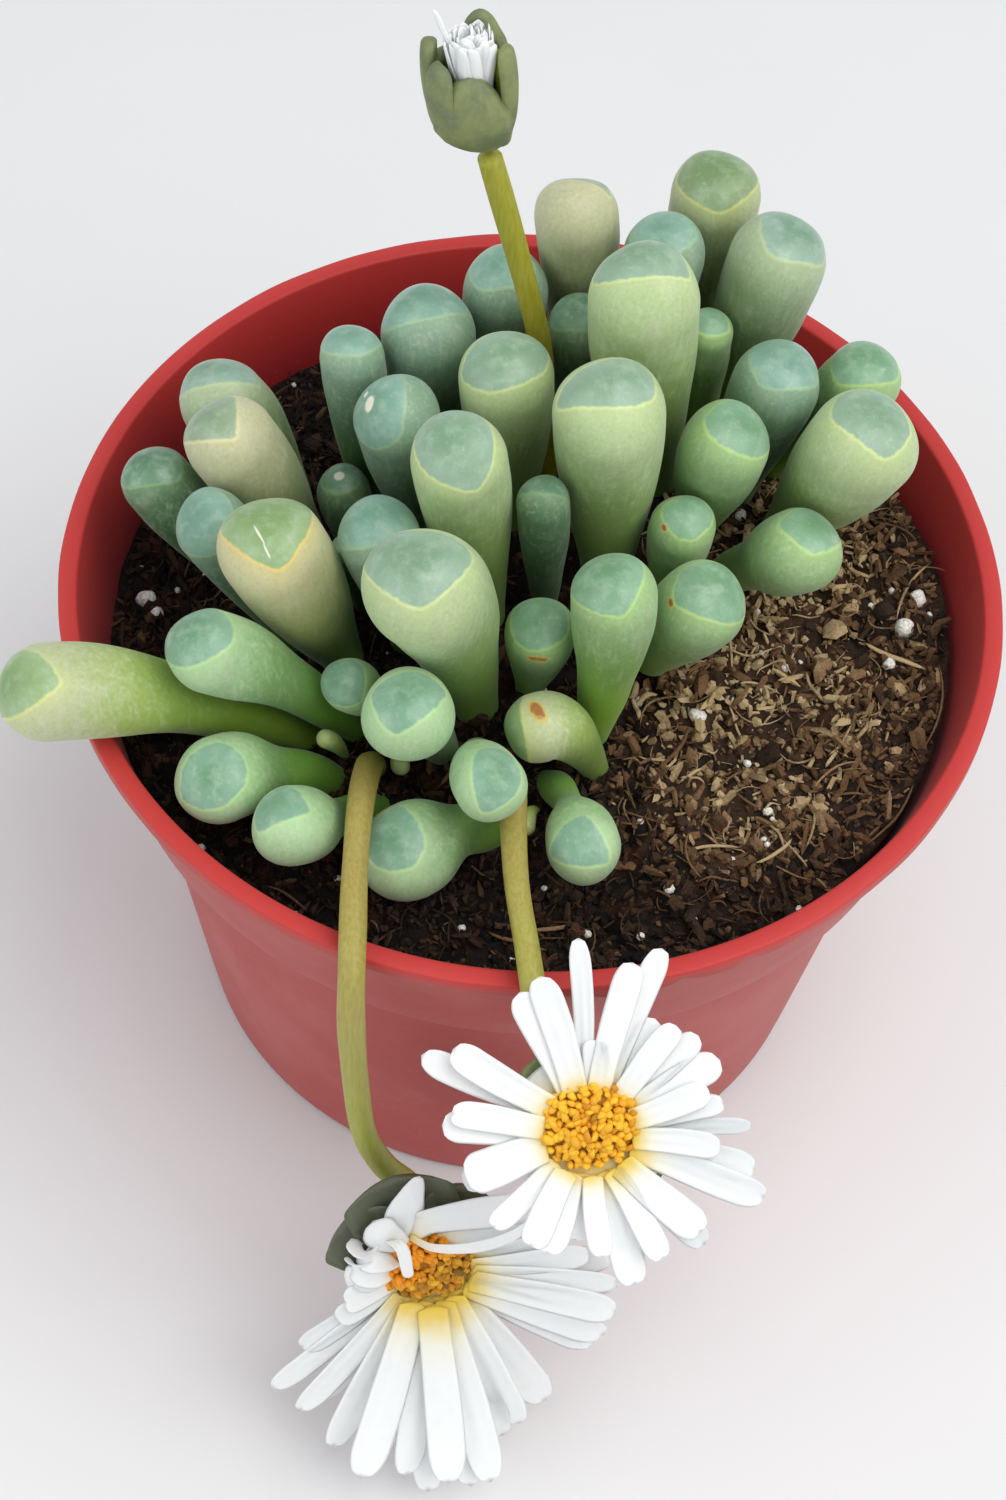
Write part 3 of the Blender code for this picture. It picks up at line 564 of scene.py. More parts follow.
def joined(patches):
    """Several patches as one, with the marks that the first of them has."""
    start = 0
    parts = {key: [] for key in patches[0]}
    for patch in patches:
        for key in parts:
            parts[key].append(patch[key] + start if key in ("quads", "tris") else patch[key])
        start += len(patch["points"])
    return {key: np.vstack(values) for key, values in parts.items()}


def piece(name, patch, finish, slot, *nodes, sharp=None):
    """One object from a patch in millimetres that rides the plant and stands for CAD nodes."""
    mesh = bpy.data.meshes.new(name)
    corners = np.concatenate((patch["quads"].ravel(), patch["tris"].ravel())).astype(np.int32)
    sizes = np.concatenate((np.full(len(patch["quads"]), 4), np.full(len(patch["tris"]), 3)))
    starts = (np.cumsum(sizes) - sizes).astype(np.int32)
    mesh.vertices.add(len(patch["points"]))
    mesh.vertices.foreach_set("co", (patch["points"] * MM).astype(np.float32).ravel())
    mesh.loops.add(len(corners))
    mesh.polygons.add(len(sizes))
    mesh.polygons.foreach_set("loop_start", starts)
    mesh.polygons.foreach_set("vertices", corners)
    for key, values in patch.items():
        if key not in ("points", "quads", "tris"):
            mark = mesh.attributes.new(key, "FLOAT", "POINT")
            mark.data.foreach_set("value", values.astype(np.float32).ravel())
    mesh.update(calc_edges=True)
    mesh.validate()
    mesh.shade_smooth()
    if sharp is not None:
        mesh.set_sharp_from_angle(angle=math.radians(sharp))
    mesh.materials.append(finish)
    made = bpy.data.objects.new(name, mesh)
    bpy.context.scene.collection.objects.link(made)
    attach(made, "root")
    if nodes:
        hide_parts(*nodes)
    return made


def ripple(points, size, seed, waves=7):
    """Smooth clouds of about size millimetres, roughly from -1 to 1: a sum of skewed waves."""
    random = np.random.default_rng(seed)
    ways = random.normal(size=(waves, 3))
    ways *= (2.0 * math.pi / size) * random.uniform(0.5, 1.3, (waves, 1)) / np.linalg.norm(ways, axis=1)[:, None]
    starts = random.uniform(0.0, 2.0 * math.pi, waves)
    return np.sin(np.asarray(points) @ ways.T + starts).sum(axis=-1) / math.sqrt(waves)


def unit(vectors):
    vectors = np.asarray(vectors, float)
    return vectors / np.linalg.norm(vectors, axis=-1, keepdims=True)


def eased(values, low, high):
    """0 below low, 1 above high, and a smooth step between them."""
    share = np.clip((np.asarray(values, float) - low) / (high - low), 0.0, 1.0)
    return share * share * (3.0 - 2.0 * share)


def soil_level(x):
    """Height of the soil's top, which slopes up towards +X."""
    return SOIL_HEIGHT + SOIL_SLOPE * x


def smooth_path(knots, step):
    """Points about every step millimetres on a Catmull-Rom curve through the knots."""
    knots = np.array(knots, dtype=float)
    ends = np.vstack((2 * knots[0] - knots[1], knots, 2 * knots[-1] - knots[-2]))
    path = []
    for first in range(len(knots) - 1):
        a, b, c, d = ends[first:first + 4]
        count = max(1, round(float(np.linalg.norm(c - b)) / step))
        for part in range(count):
            t = part / count
            path.append(0.5 * (2 * b + (c - a) * t + (2 * a - 5 * b + 4 * c - d) * t * t
                               + (3 * b - a - 3 * c + d) * t ** 3))
    path.append(knots[-1])
    return np.array(path)


def swell(stations):
    """How wide a leaf is along its length, as a share of its tip's radius."""
    rising = np.sin(0.5 * math.pi * np.clip(stations / FULL_AT, 0.0, 1.0))
    return FOOT_RATIO + (1.0 - FOOT_RATIO) * rising ** SWELL_POWER


def bend_path(foot, middle, tip, stations):
    """Points on the quadratic curve from foot to tip that middle pulls aside."""
    s = np.asarray(stations)[:, None]
    return (1 - s) ** 2 * foot + 2 * s * (1 - s) * middle + s ** 2 * tip


def stem_balls():
    """Centres and radii of balls strung along the stems, for keeping leaves off them."""
    stems = ((STEM_LEFT, STEM_LEFT_RADIUS), (STEM_RIGHT, STEM_RIGHT_RADIUS), (STEM_BUD, STEM_BUD_RADIUS))
    centres = []
    radii = []
    for knots, radius in stems:
        path = smooth_path(knots, STEM_STEP)
        for start, end in zip(path, path[1:]):
            for share in (0.0, 0.33, 0.67):
                centres.append(start + (end - start) * share)
                radii.append(radius)
    return np.array(centres), np.array(radii)


def settle_leaves():
    """Feet, middles and tips of all leaves, eased apart until none touches another.

    Each leaf is a string of balls on its curve. Balls closer than the clearance push their
    leaves apart, the stems and the rim push back, and the push moves foot, middle and tip by
    their share in the curve. The CAD does the same.
    """
    tips = np.array([row[2] for row in LEAVES], dtype=float)
    radii = np.array([row[3] for row in LEAVES])
    feet = np.array([(*row[1], soil_level(row[1][0])) for row in LEAVES])
    middles = (feet + tips) / 2.0
    middles[:, 2] += LEAF_RISE + np.array([row[4] for row in LEAVES])

    stations = np.linspace(0.0, 1.0, SETTLE_STATIONS)
    shares = ((1 - stations) ** 2, 2 * stations * (1 - stations), stations ** 2)
    ball = (radii[:, None] * swell(stations)[None, :]).reshape(-1)
    owner = np.repeat(np.arange(len(LEAVES)), SETTLE_STATIONS)
    other = owner[:, None] != owner[None, :]
    posts, post_radii = stem_balls()
    lip_in = RIM_RADIUS - RIM_WIDTH

    for _ in range(SETTLE_STEPS):
        s = stations[None, :, None]
        curve = (1 - s) ** 2 * feet[:, None] + 2 * s * (1 - s) * middles[:, None] + s ** 2 * tips[:, None]
        at = curve.reshape(-1, 3)

        apart = at[:, None] - at[None, :]
        distance = np.linalg.norm(apart, axis=2) + 1e-9
        press = np.clip(ball[:, None] + ball[None, :] + CLEARANCE - distance, 0.0, None) * other
        push = (apart * (0.5 * press / distance)[..., None]).sum(axis=1)
        count = (press > 0).sum(axis=1)

        off_stem = at[:, None] - posts[None, :]
        stem_gap = np.linalg.norm(off_stem, axis=2) + 1e-9
        press = np.clip(ball[:, None] + post_radii[None, :] + CLEARANCE - stem_gap, 0.0, None)
        push += (off_stem * (press / stem_gap)[..., None]).sum(axis=1)
        count = count + (press > 0).sum(axis=1)
        push /= np.maximum(count, 1)[:, None]

        across = np.hypot(at[:, 0], at[:, 1])
        lip_gap = np.hypot(across - np.clip(across, lip_in, RIM_RADIUS), at[:, 2] - POT_HEIGHT)
        over = (at[:, 2] >= POT_HEIGHT) * np.clip(ball + CLEARANCE - lip_gap, 0.0, None)
        push[:, 2] += over

        push = push.reshape(len(LEAVES), SETTLE_STATIONS, 3)
        moves = [(push * share[None, :, None]).sum(axis=1) / share.sum() for share in shares]
        feet[:, :2] += moves[0][:, :2]
        feet[:, 2] = soil_level(feet[:, 0])
        middles += MIDDLE_YIELD * moves[1]
        tips += moves[2]
    return feet, middles, tips, radii


def carried(path, ways, side):
    """Side and cross vectors along a path, carried along it without twisting."""
    sides = []
    for way in ways:
        side = side - way * side.dot(way)
        side = side / np.linalg.norm(side)
        sides.append(side)
    sides = np.array(sides)
    return sides, np.cross(ways, sides)


def path_ways(path):
    return unit(np.gradient(path, axis=0))


# Leaves.
def aim(turn, reach, axes):
    """The direction at a turn about the leaf's axis and a reach from it, in degrees."""
    front, across, axis = axes
    turn, reach = math.radians(turn), math.radians(reach)
    return math.cos(reach) * axis + math.sin(reach) * (math.cos(turn) * front + math.sin(turn) * across)


def window_depth(ways, corners, radius):
    """Millimetres inside the window's edge for each direction, negative outside.

    The window is a polygon on the round tip with arcs of great circles for edges: the depth is
    a soft least of the angles above its edges.
    """
    middle = unit(corners.sum(axis=0))
    walls = unit(np.cross(corners, np.roll(corners, -1, axis=0)))
    walls *= np.sign(walls @ middle)[:, None]
    angles = np.arcsin(np.clip(ways @ walls.T, -1.0, 1.0))
    least = angles.min(axis=-1, keepdims=True)
    soft = -EDGE_SOFTNESS * np.log(np.exp(-(angles - least) / EDGE_SOFTNESS).sum(axis=-1))
    return radius * (least[..., 0] + soft)


def leaf_patch(name, foot, middle, tip, radius, seed):
    """A club-shaped leaf: rings along its bent axis, then a round tip, flattened at the window.

    A ring's radius is the tip's radius times the swell, with a faint three-sided bulge and, on
    some leaves, a slimmer neck. At the
    tip a point in the direction d lies at R / (1 + (d.w / h)^p)^(1/p) from the tip's centre,
    where w is the window's middle, which cuts a flat facet with a round edge.
    """
    stations = np.linspace(0.0, 1.0, LEAF_RINGS)
    path = bend_path(foot, middle, tip, stations)
    ways = path_ways(path)
    axis = ways[-1] = unit(tip - middle)
    front = np.array((0.0, -1.0, 0.0))
    front = unit(front - axis * front.dot(axis))
    axes = (front, np.cross(axis, front), axis)
    ease = eased(stations, 0.0, 0.3)[:, None]
    ways = unit(ways * ease + np.array((0.0, 0.0, 1.0)) * (1.0 - ease))
    sides, crosses = carried(path[::-1], ways[::-1], front)
    sides, crosses = sides[::-1], crosses[::-1]

    angles = np.linspace(0.0, 2.0 * math.pi, LEAF_SIDES, endpoint=False)
    round_about = (np.cos(angles)[None, :, None] * sides[:, None] + np.sin(angles)[None, :, None] * crosses[:, None])
    random = np.random.default_rng(seed)
    lean = random.uniform(0.0, 2.0 * math.pi)
    bulge = 1.0 + 0.022 * np.cos(3.0 * (angles[None, :] - lean)) * eased(stations, 0.1, 0.6)[:, None]
    neck = 1.0 - NECKS.get(name, 0.0) * np.exp(-((stations - 0.48) / 0.24) ** 2)
    tube = path[:, None] + (radius * (swell(stations) * neck)[:, None] * bulge)[..., None] * round_about
    lifts = np.linspace(0.0, 0.5 * math.pi, CAP_RINGS + 1)[1:]
    cap_ways = np.cos(lifts)[:, None, None] * round_about[-1][None] + TIP_LENGTH * np.sin(lifts)[:, None, None] * axis
    cap = tip + radius * (1.0 + (bulge[-1] - 1.0)[None, :] * np.cos(lifts)[:, None])[..., None] * cap_ways
    grid = np.concatenate((tube, cap))
    grid += 0.010 * radius * ripple(grid / radius, 1.6, seed)[..., None] * unit(grid - np.concatenate(
        (path, np.repeat(tip[None], CAP_RINGS, axis=0)))[:, None])

    along = np.concatenate((stations, 1.0 + 0.12 * np.sin(lifts)))[:, None]
    marks = {"along": along, "edge": -9.0, "line": 0.0, "rust": 0.0, "chalk": 0.0}
    if name in WINDOWS:
        corners = np.array([aim(turn, reach, axes) for turn, reach in WINDOWS[name][1]])
        facing = unit(corners.sum(axis=0))
        off = grid - tip
        away = np.linalg.norm(off, axis=-1, keepdims=True)
        ways_out = off / away
        depth = window_depth(ways_out, corners, radius)
        near = eased(-depth, 2.6 * radius, 1.6 * radius)
        cut = np.clip(ways_out @ facing, 0.0, None) / FACET_HEIGHT
        shrink = (1.0 + cut ** FACET_POWER) ** (-1.0 / FACET_POWER)
        ridge = EDGE_RIDGE * np.exp(-(depth / 0.45) ** 2)
        grid = tip + ways_out * (away * shrink[..., None] + ridge[..., None])
        marks["edge"] = np.where(near > 0.0, depth, -9.0)
        marks["line"] = 0.30 + 0.70 * eased(-(ways_out @ np.array((0.0, 0.80, 0.60))), -0.85, -0.15)
        for scar, turn, reach, long, wide, tilt, mark in SCARS:
            if scar == name:
                way = aim(turn, reach, axes)
                level = unit(np.cross(axis, way))
                rise = np.cross(way, level)
                tilt = math.radians(tilt)
                u = radius * (ways_out @ (math.cos(tilt) * level + math.sin(tilt) * rise)) / long
                v = radius * (ways_out @ (math.cos(tilt) * rise - math.sin(tilt) * level)) / wide
                spot = np.exp(-(u * u + v * v) ** 1.5) * (ways_out @ way > 0.3)
                marks[mark] = np.maximum(marks[mark], spot)
    grid[0, :, 2] -= 2.0
    return lattice(grid, True, (True, True), marks)


def make_leaves():
    finishes = {}
    for number, (row, foot, middle, tip, radius) in enumerate(zip(LEAVES, *settle_leaves())):
        name = row[0]
        palette = WINDOWS[name][0] if name in WINDOWS else "bract"
        if palette not in finishes:
            finishes[palette] = leaf_finish(palette, LEAF_PALETTES[palette])
        patch = leaf_patch(name, foot, middle, tip, radius, number)
        slot = "leaf_green" if name in WINDOWS else "bract_green"
        piece("toe_" + name, patch, finishes[palette], slot, name)


# Pot.
def rounded(profile, radius, steps=4):
    """A profile whose inner corners are cut by short curves of about a radius."""
    profile = np.array(profile, float)
    points = [profile[0]]
    for before, corner, after in zip(profile, profile[1:], profile[2:]):
        back, ahead = before - corner, after - corner
        reach = min(radius, 0.45 * np.linalg.norm(back), 0.45 * np.linalg.norm(ahead))
        start, end = corner + unit(back) * reach, corner + unit(ahead) * reach
        for t in np.linspace(0.0, 1.0, steps):
            points.append((1 - t) ** 2 * start + 2 * t * (1 - t) * corner + t * t * end)
    points.append(profile[-1])
    return np.array(points)


def turned_grid(profile, segments):
    """Rings of a profile of (radius, height) turned about Z, counted outwards from its start."""
    angles = np.linspace(0.0, 2.0 * math.pi, segments, endpoint=False)
    ring = np.stack((np.cos(angles), np.sin(angles), np.zeros(segments)), -1)
    grid = profile[:, None, :1] * ring[None]
    grid[..., 2] = profile[:, 1:2]
    return grid, angles


def make_pot():
    """The thin tapered pot: a turned wall with a wider collar and a flat lip, and drain holes.

    The lip's outer edge wanders by a few hundredths of a millimetre, and more at the front
    right, where its flash is torn.
    """
    inner = RIM_RADIUS - RIM_WIDTH
    outline = [(0.0, 0.0), (BASE_RADIUS - 3.0, 0.0), (BASE_RADIUS - 2.0, 0.5), (BASE_RADIUS, 0.5)]
    for share in np.linspace(0.1, 1.0, 10):
        outline.append((BASE_RADIUS + (WALL_TOP_RADIUS - BASE_RADIUS) * share, COLLAR_FOOT_HEIGHT * share))
    outline += [(COLLAR_FOOT_RADIUS, COLLAR_FOOT_HEIGHT)]
    for share in (0.33, 0.66, 1.0):
        outline.append((COLLAR_FOOT_RADIUS + (COLLAR_TOP_RADIUS - COLLAR_FOOT_RADIUS) * share,
                        COLLAR_FOOT_HEIGHT + (POT_HEIGHT - RIM_DEPTH - COLLAR_FOOT_HEIGHT) * share))
    outline += [
        (RIM_RADIUS, POT_HEIGHT - RIM_DEPTH),
        (RIM_RADIUS, POT_HEIGHT),
        (inner, POT_HEIGHT),
        (COLLAR_FOOT_RADIUS - WALL, COLLAR_FOOT_HEIGHT + WALL),
        (WALL_TOP_RADIUS - WALL, COLLAR_FOOT_HEIGHT - WALL),
        (BASE_RADIUS - WALL, FLOOR),
        (0.0, FLOOR),
    ]
    profile = rounded(outline, 0.35)
    grid, angles = turned_grid(profile, 240)
    out = unit(grid * np.array((1.0, 1.0, 0.0)) + 1e-9)
    lip = eased(grid[..., 2], 65.0, 66.2) * (np.hypot(grid[..., 0], grid[..., 1]) > 48.8)
    torn = np.exp(-((np.degrees(angles) - 287.0) / 12.0) ** 2)[None, :] * (grid[..., 2] < 67.2)
    jag = 0.04 * ripple(grid, 9.0, 3) + torn * (0.34 * ripple(grid, 2.6, 4) + 0.12)
    grid = grid + out * (lip * jag)[..., None]
    away = np.hypot(profile[:, 0], 0.0)
    top = int(np.argmax(profile[:, 1] >= POT_HEIGHT - 0.01))
    # outside is 1 on the outer wall, where the finish paints a pale reflection; the inside gets painted shade.
    outside = np.where(np.arange(len(profile)) <= top, 1.0, 0.0)[:, None]
    ledge = ((profile[:, 1] > POT_HEIGHT - RIM_DEPTH + 0.4) & (away > inner - 0.1)).astype(float)[:, None]
    body = lattice(grid, True, (True, True), {"outside": outside, "ledge": ledge})
    pot = piece("pot_shell", body, pot_finish(), "red_plastic", "pot", sharp=50)

    drill = np.array([(0.0, -FLOOR), (DRAIN_RADIUS, -FLOOR), (DRAIN_RADIUS, 2 * FLOOR), (0.0, 2 * FLOOR)])
    tool, _ = turned_grid(drill, 32)
    cutters = []
    for hole in range(DRAIN_HOLES):
        turn = 2.0 * math.pi * (hole + 0.5) / DRAIN_HOLES
        offset = np.array((DRAIN_CIRCLE * math.cos(turn), DRAIN_CIRCLE * math.sin(turn), 0.0))
        cutters.append(lattice(tool + offset, True, (True, True)))
    mesh = bpy.data.meshes.new("drain_cutter")
    cutter = joined(cutters)
    faces = [tuple(face) for face in cutter["quads"]] + [tuple(face) for face in cutter["tris"]]
    mesh.from_pydata(cutter["points"] * MM, [], faces)
    drains = bpy.data.objects.new("drain_cutter", mesh)
    bpy.context.scene.collection.objects.link(drains)
    cut = pot.modifiers.new("drain_holes", "BOOLEAN")
    cut.operation = "DIFFERENCE"
    cut.solver = "EXACT"
    cut.object = drains
    bpy.context.view_layer.update()
    solid = bpy.data.meshes.new_from_object(pot.evaluated_get(bpy.context.evaluated_depsgraph_get()))
    pot.modifiers.clear()
    pot.data = solid
    bpy.data.objects.remove(drains, do_unlink=True)


# Soil.
def ground(x, y):
    """Height of the loose soil: its slope, swells of a few millimetres and small lumps."""
    spot = np.stack((x, y, np.zeros_like(x)), -1)
    lumps = 0.8 * ripple(spot, 15.0, 11) + 0.45 * ripple(spot, 5.0, 12) + 0.35 * ripple(spot, 2.2, 13)
    lumps += 0.22 * ripple(spot, 1.1, 15)
    edge = eased(np.hypot(x, y), 39.0, 45.0)
    return soil_level(x) + 0.1 + lumps * (1.0 - 0.5 * edge) - 0.9 * edge


def soil_paleness(x, y):
    """How pale the soil is: paler in the right half but less so near the wall, black at the left and in front."""
    right = eased(x + 0.25 * y, -4.0, 20.0) * (1.0 - 0.55 * eased(np.hypot(x, y), 33.0, 43.0))
    front = eased(-y, 24.0, 40.0)
    cloud = 0.10 * ripple(np.stack((x, y, np.zeros_like(x)), -1), 11.0, 16)
    return 0.10 + (0.52 + cloud) * right * (1.0 - 0.8 * front)


def make_soil_bed():
    """The body of soil: a skirt down inside the pot, a flat foot and a lumpy top."""
    outline = rounded([
        (0.0, FLOOR + GAP),
        (BASE_RADIUS - WALL - GAP, FLOOR + GAP),
        (WALL_TOP_RADIUS - WALL - GAP, COLLAR_FOOT_HEIGHT - 0.5),
        (COLLAR_FOOT_RADIUS - WALL - GAP, COLLAR_FOOT_HEIGHT + WALL + 0.5),
        (SOIL_TOP_RADIUS, SOIL_HEIGHT - 2.0),
    ], 0.3)
    rings = np.stack((np.linspace(SOIL_TOP_RADIUS, 0.0, 130), np.full(130, SOIL_HEIGHT)), -1)
    profile = np.vstack((outline[:-1], rings))
    grid, _ = turned_grid(profile, 260)
    x, y = grid[..., 0], grid[..., 1]
    top = np.arange(len(profile)) >= len(outline) - 1
    z = np.where(top[:, None], ground(x, y), grid[..., 2])
    grid = np.stack((x, y, z), -1)
    # The bed shows only between the crumbs; scaling its tone by 0.35 darkens it as painted shade for the hollows
    # between them.
    tone = np.clip(soil_paleness(x, y) * 0.35 + 0.05 * ripple(grid, 4.0, 14), 0.0, 1.0)
    body = lattice(grid, True, (True, True), {"tone": tone})
    return piece("soil_bed", body, FINISHES["soil"], "potting_soil", "soil")


def lump_shape(sides, heights, widths):
    """A closed lump of a few sides: rings of the given heights and widths about Z."""
    angles = np.linspace(0.0, 2.0 * math.pi, sides, endpoint=False)
    ring = np.stack((np.cos(angles), np.sin(angles), np.zeros(sides)), -1)
    grid = np.array(widths)[:, None, None] * ring[None]
    grid[..., 2] = np.array(heights)[:, None]
    return lattice(grid, True, (True, True))


CRUMB = lump_shape(6, (-1.0, -0.55, 0.1, 0.62, 1.0), (0.0, 0.86, 1.0, 0.7, 0.0))
SPLINTER = lump_shape(4, (-1.0, -0.7, 0.6, 1.0), (0.0, 0.9, 0.8, 0.0))
GRAIN = lump_shape(7, (-1.0, -0.62, 0.15, 0.72, 1.0), (0.0, 0.8, 1.0, 0.66, 0.0))
PEBBLE = lump_shape(10, (-1.0, -0.8, -0.3, 0.3, 0.8, 1.0), (0.0, 0.6, 0.95, 0.95, 0.6, 0.0))


def tumbled(random, count):
    """Random turns as matrices, from random unit quaternions."""
    w, x, y, z = unit(random.normal(size=(count, 4))).T
    rows = (
        (1 - 2 * (y * y + z * z), 2 * (x * y - w * z), 2 * (x * z + w * y)),
        (2 * (x * y + w * z), 1 - 2 * (x * x + z * z), 2 * (y * z - w * x)),
        (2 * (x * z - w * y), 2 * (y * z + w * x), 1 - 2 * (x * x + y * y)),
    )
    return np.array(rows).transpose(2, 0, 1)


def cast(shape, spots, turns, sizes, tones, random, rough=0.22):
    """Copies of a shape, each with its own place, turn, size and dents."""
    points = shape["points"][None] * (1.0 + random.uniform(-rough, rough, (len(spots), len(shape["points"]), 1)))
    points = np.einsum("nij,nvj->nvi", turns, points * sizes[:, None]) + spots[:, None]
    shift = np.arange(len(spots))[:, None, None] * len(shape["points"])
    return {
        "points": points.reshape(-1, 3),
        "quads": (shape["quads"][None] + shift).reshape(-1, 4),
        "tris": (shape["tris"][None] + shift).reshape(-1, 3),
        "tone": np.repeat(tones, len(shape["points"]))[:, None],
    }


def strewn(random, count, reach=44.9):
    """Random spots over the soil's round top, fewer where the leaves' feet hide it."""
    away = reach * np.sqrt(random.uniform(0.0, 1.0, count))
    turn = random.uniform(0.0, 2.0 * math.pi, count)
    x, y = away * np.cos(turn), away * np.sin(turn)
    hidden = (((x - 1.0) / 17.0) ** 2 + ((y - 9.0) / 20.0) ** 2 < 1.0) & (random.uniform(0.0, 1.0, count) < 0.75)
    return x[~hidden], y[~hidden]


def strew_lot(random, shape, count, low, high, proportions, lift, lighter, rough):
    """Copies of one shape over the soil: half sizes from low to high times the proportions."""
    x, y = strewn(random, count)
    size = low + (high - low) * random.uniform(0.0, 1.0, len(x)) ** 1.8
    sizes = size[:, None] * np.array(proportions) * random.uniform(0.65, 1.25, (len(x), 3))
    spots = np.stack((x, y, ground(x, y) + lift * size * random.uniform(0.2, 1.0, len(x))), -1)
    tones = np.clip(soil_paleness(x, y) * random.uniform(0.55, 1.75, len(x)) + lighter + random.normal(0.0, 0.12, len(x)), 0.0, 1.0)
    return cast(shape, spots, tumbled(random, len(x)), sizes, tones, random, rough)


def make_crumbs():
    """Crumbs of peat and bark, thin splinters and tiny grains, strewn over the bed."""
    random = np.random.default_rng(21)
    crumbs = joined([
        strew_lot(random, CRUMB, 3600, 0.35, 1.0, (1.0, 0.7, 0.6), 0.5, 0.0, 0.3),
        strew_lot(random, CRUMB, 170, 1.0, 2.0, (1.0, 0.6, 0.45), 0.5, 0.03, 0.3),
        strew_lot(random, CRUMB, 1100, 0.15, 0.38, (1.0, 0.8, 0.8), 2.0, 0.14, 0.3),
    ])
    piece("soil_crumbs", crumbs, FINISHES["soil"], "potting_soil", sharp=35)
    splinters = joined([
        strew_lot(random, SPLINTER, 5200, 0.5, 1.6, (0.24, 0.34, 1.0), 0.55, 0.08, 0.3),
        strew_lot(random, SPLINTER, 2600, 0.3, 0.9, (0.55, 0.2, 1.0), 0.9, 0.06, 0.3),
    ])
    stone = cast(PEBBLE, np.array(((38.2, 3.4, ground(38.2, 3.4) + 0.7),)), tumbled(random, 1),
                 np.array(((1.5, 1.2, 1.1),)), np.array((0.2,)), random, 0.12)
    splinters = joined([splinters, stone])
    piece("soil_splinters", splinters, FINISHES["soil"], "potting_soil", sharp=35)


def strands(starts, ways, bends, lengths, widths, tones, random, stations=9, sides=4):
    """Thin bent fibres: square tubes that taper at both ends along an arc over the soil."""
    t = np.linspace(0.0, 1.0, stations)[None, :, None]
    side = unit(np.cross(ways, (0.0, 0.0, 1.0)))
    path = (starts[:, None] + (t - 0.5) * lengths[:, None, None] * ways[:, None]
            + (4.0 * t * (1.0 - t)) * bends[:, None, None] * side[:, None])
    path[..., 2] += 0.25 * np.sin(t[..., 0] * random.uniform(3.0, 9.0, (len(starts), 1)) + random.uniform(0, 6, (len(starts), 1)))
    angles = np.linspace(0.0, 2.0 * math.pi, sides, endpoint=False)
    taper = (0.35 + 0.65 * np.sin(math.pi * t[..., 0]) ** 0.5) * widths[:, None]
    around = (np.cos(angles)[None, None, :, None] * side[:, None, None]
              + np.sin(angles)[None, None, :, None] * np.array((0.0, 0.0, 0.7)))
    grid = path[:, :, None] + taper[:, :, None, None] * around
    return joined([lattice(one, True, (True, True), {"tone": tone}) for one, tone in zip(grid, tones)])


# Straws and roots that stand out: x, y, height over the soil, turn, length, bend, half width, tone.
STRAWS = (
    (39.5, -1.8, 1.0, -26, 7.6, 0.3, 0.30, 0.95),
    (41.5, 6.5, 1.1, 65, 9.0, -0.8, 0.17, 0.8),
    (43.0, -8.0, 1.0, 80, 13.0, 1.4, 0.13, 0.62),
    (38.8, -22.0, 0.9, 58, 10.0, 0.8, 0.15, 0.6),
    (33.0, -19.5, 1.0, 38, 6.0, -0.9, 0.14, 0.75),
    (26.8, -28.2, 1.1, 42, 5.2, 0.6, 0.22, 0.9),
    (27.2, -26.2, 1.2, 118, 4.0, 0.4, 0.16, 0.85),
    (29.0, -27.6, 1.1, -50, 4.6, -0.4, 0.14, 0.8),
    (30.5, -24.0, 1.1, 84, 7.0, 0.5, 0.15, 0.8),
    (20.5, -28.5, 1.0, 16, 6.4, -0.6, 0.20, 0.9),
    (16.0, -16.5, 1.0, 62, 7.0, 0.7, 0.24, 0.5),
    (34.5, -7.0, 1.0, 48, 6.0, 0.5, 0.16, 0.75),
    (31.0, -6.5, 0.9, -62, 4.2, 0.3, 0.22, 0.8),
    (19.5, -6.0, 1.0, 30, 5.5, -0.8, 0.16, 0.6),
    (5.0, -37.5, 1.0, 20, 5.5, 0.4, 0.26, 0.7),
    (1.5, -40.0, 1.0, -14, 6.5, 0.3, 0.22, 0.6),
    (-22.0, -37.0, 1.0, 150, 6.0, 0.7, 0.16, 0.45),
    (-31.0, -14.0, 1.0, 70, 6.0, -0.8, 0.14, 0.35),
    (-37.5, -9.0, 1.0, 40, 5.0, 0.6, 0.12, 0.35),
    (11.5, -8.6, 1.3, 75, 3.6, 0.3, 0.42, 1.0),
    (13.2, -9.6, 1.2, 40, 3.0, -0.4, 0.36, 1.0),
    (12.0, -11.0, 1.1, 110, 2.8, 0.2, 0.30, 0.95),
    (35.5, 9.0, 1.0, -40, 3.4, 0.4, 0.30, 0.85),
    (14.5, -21.5, 1.0, 115, 4.0, 0.3, 0.34, 0.85),
)


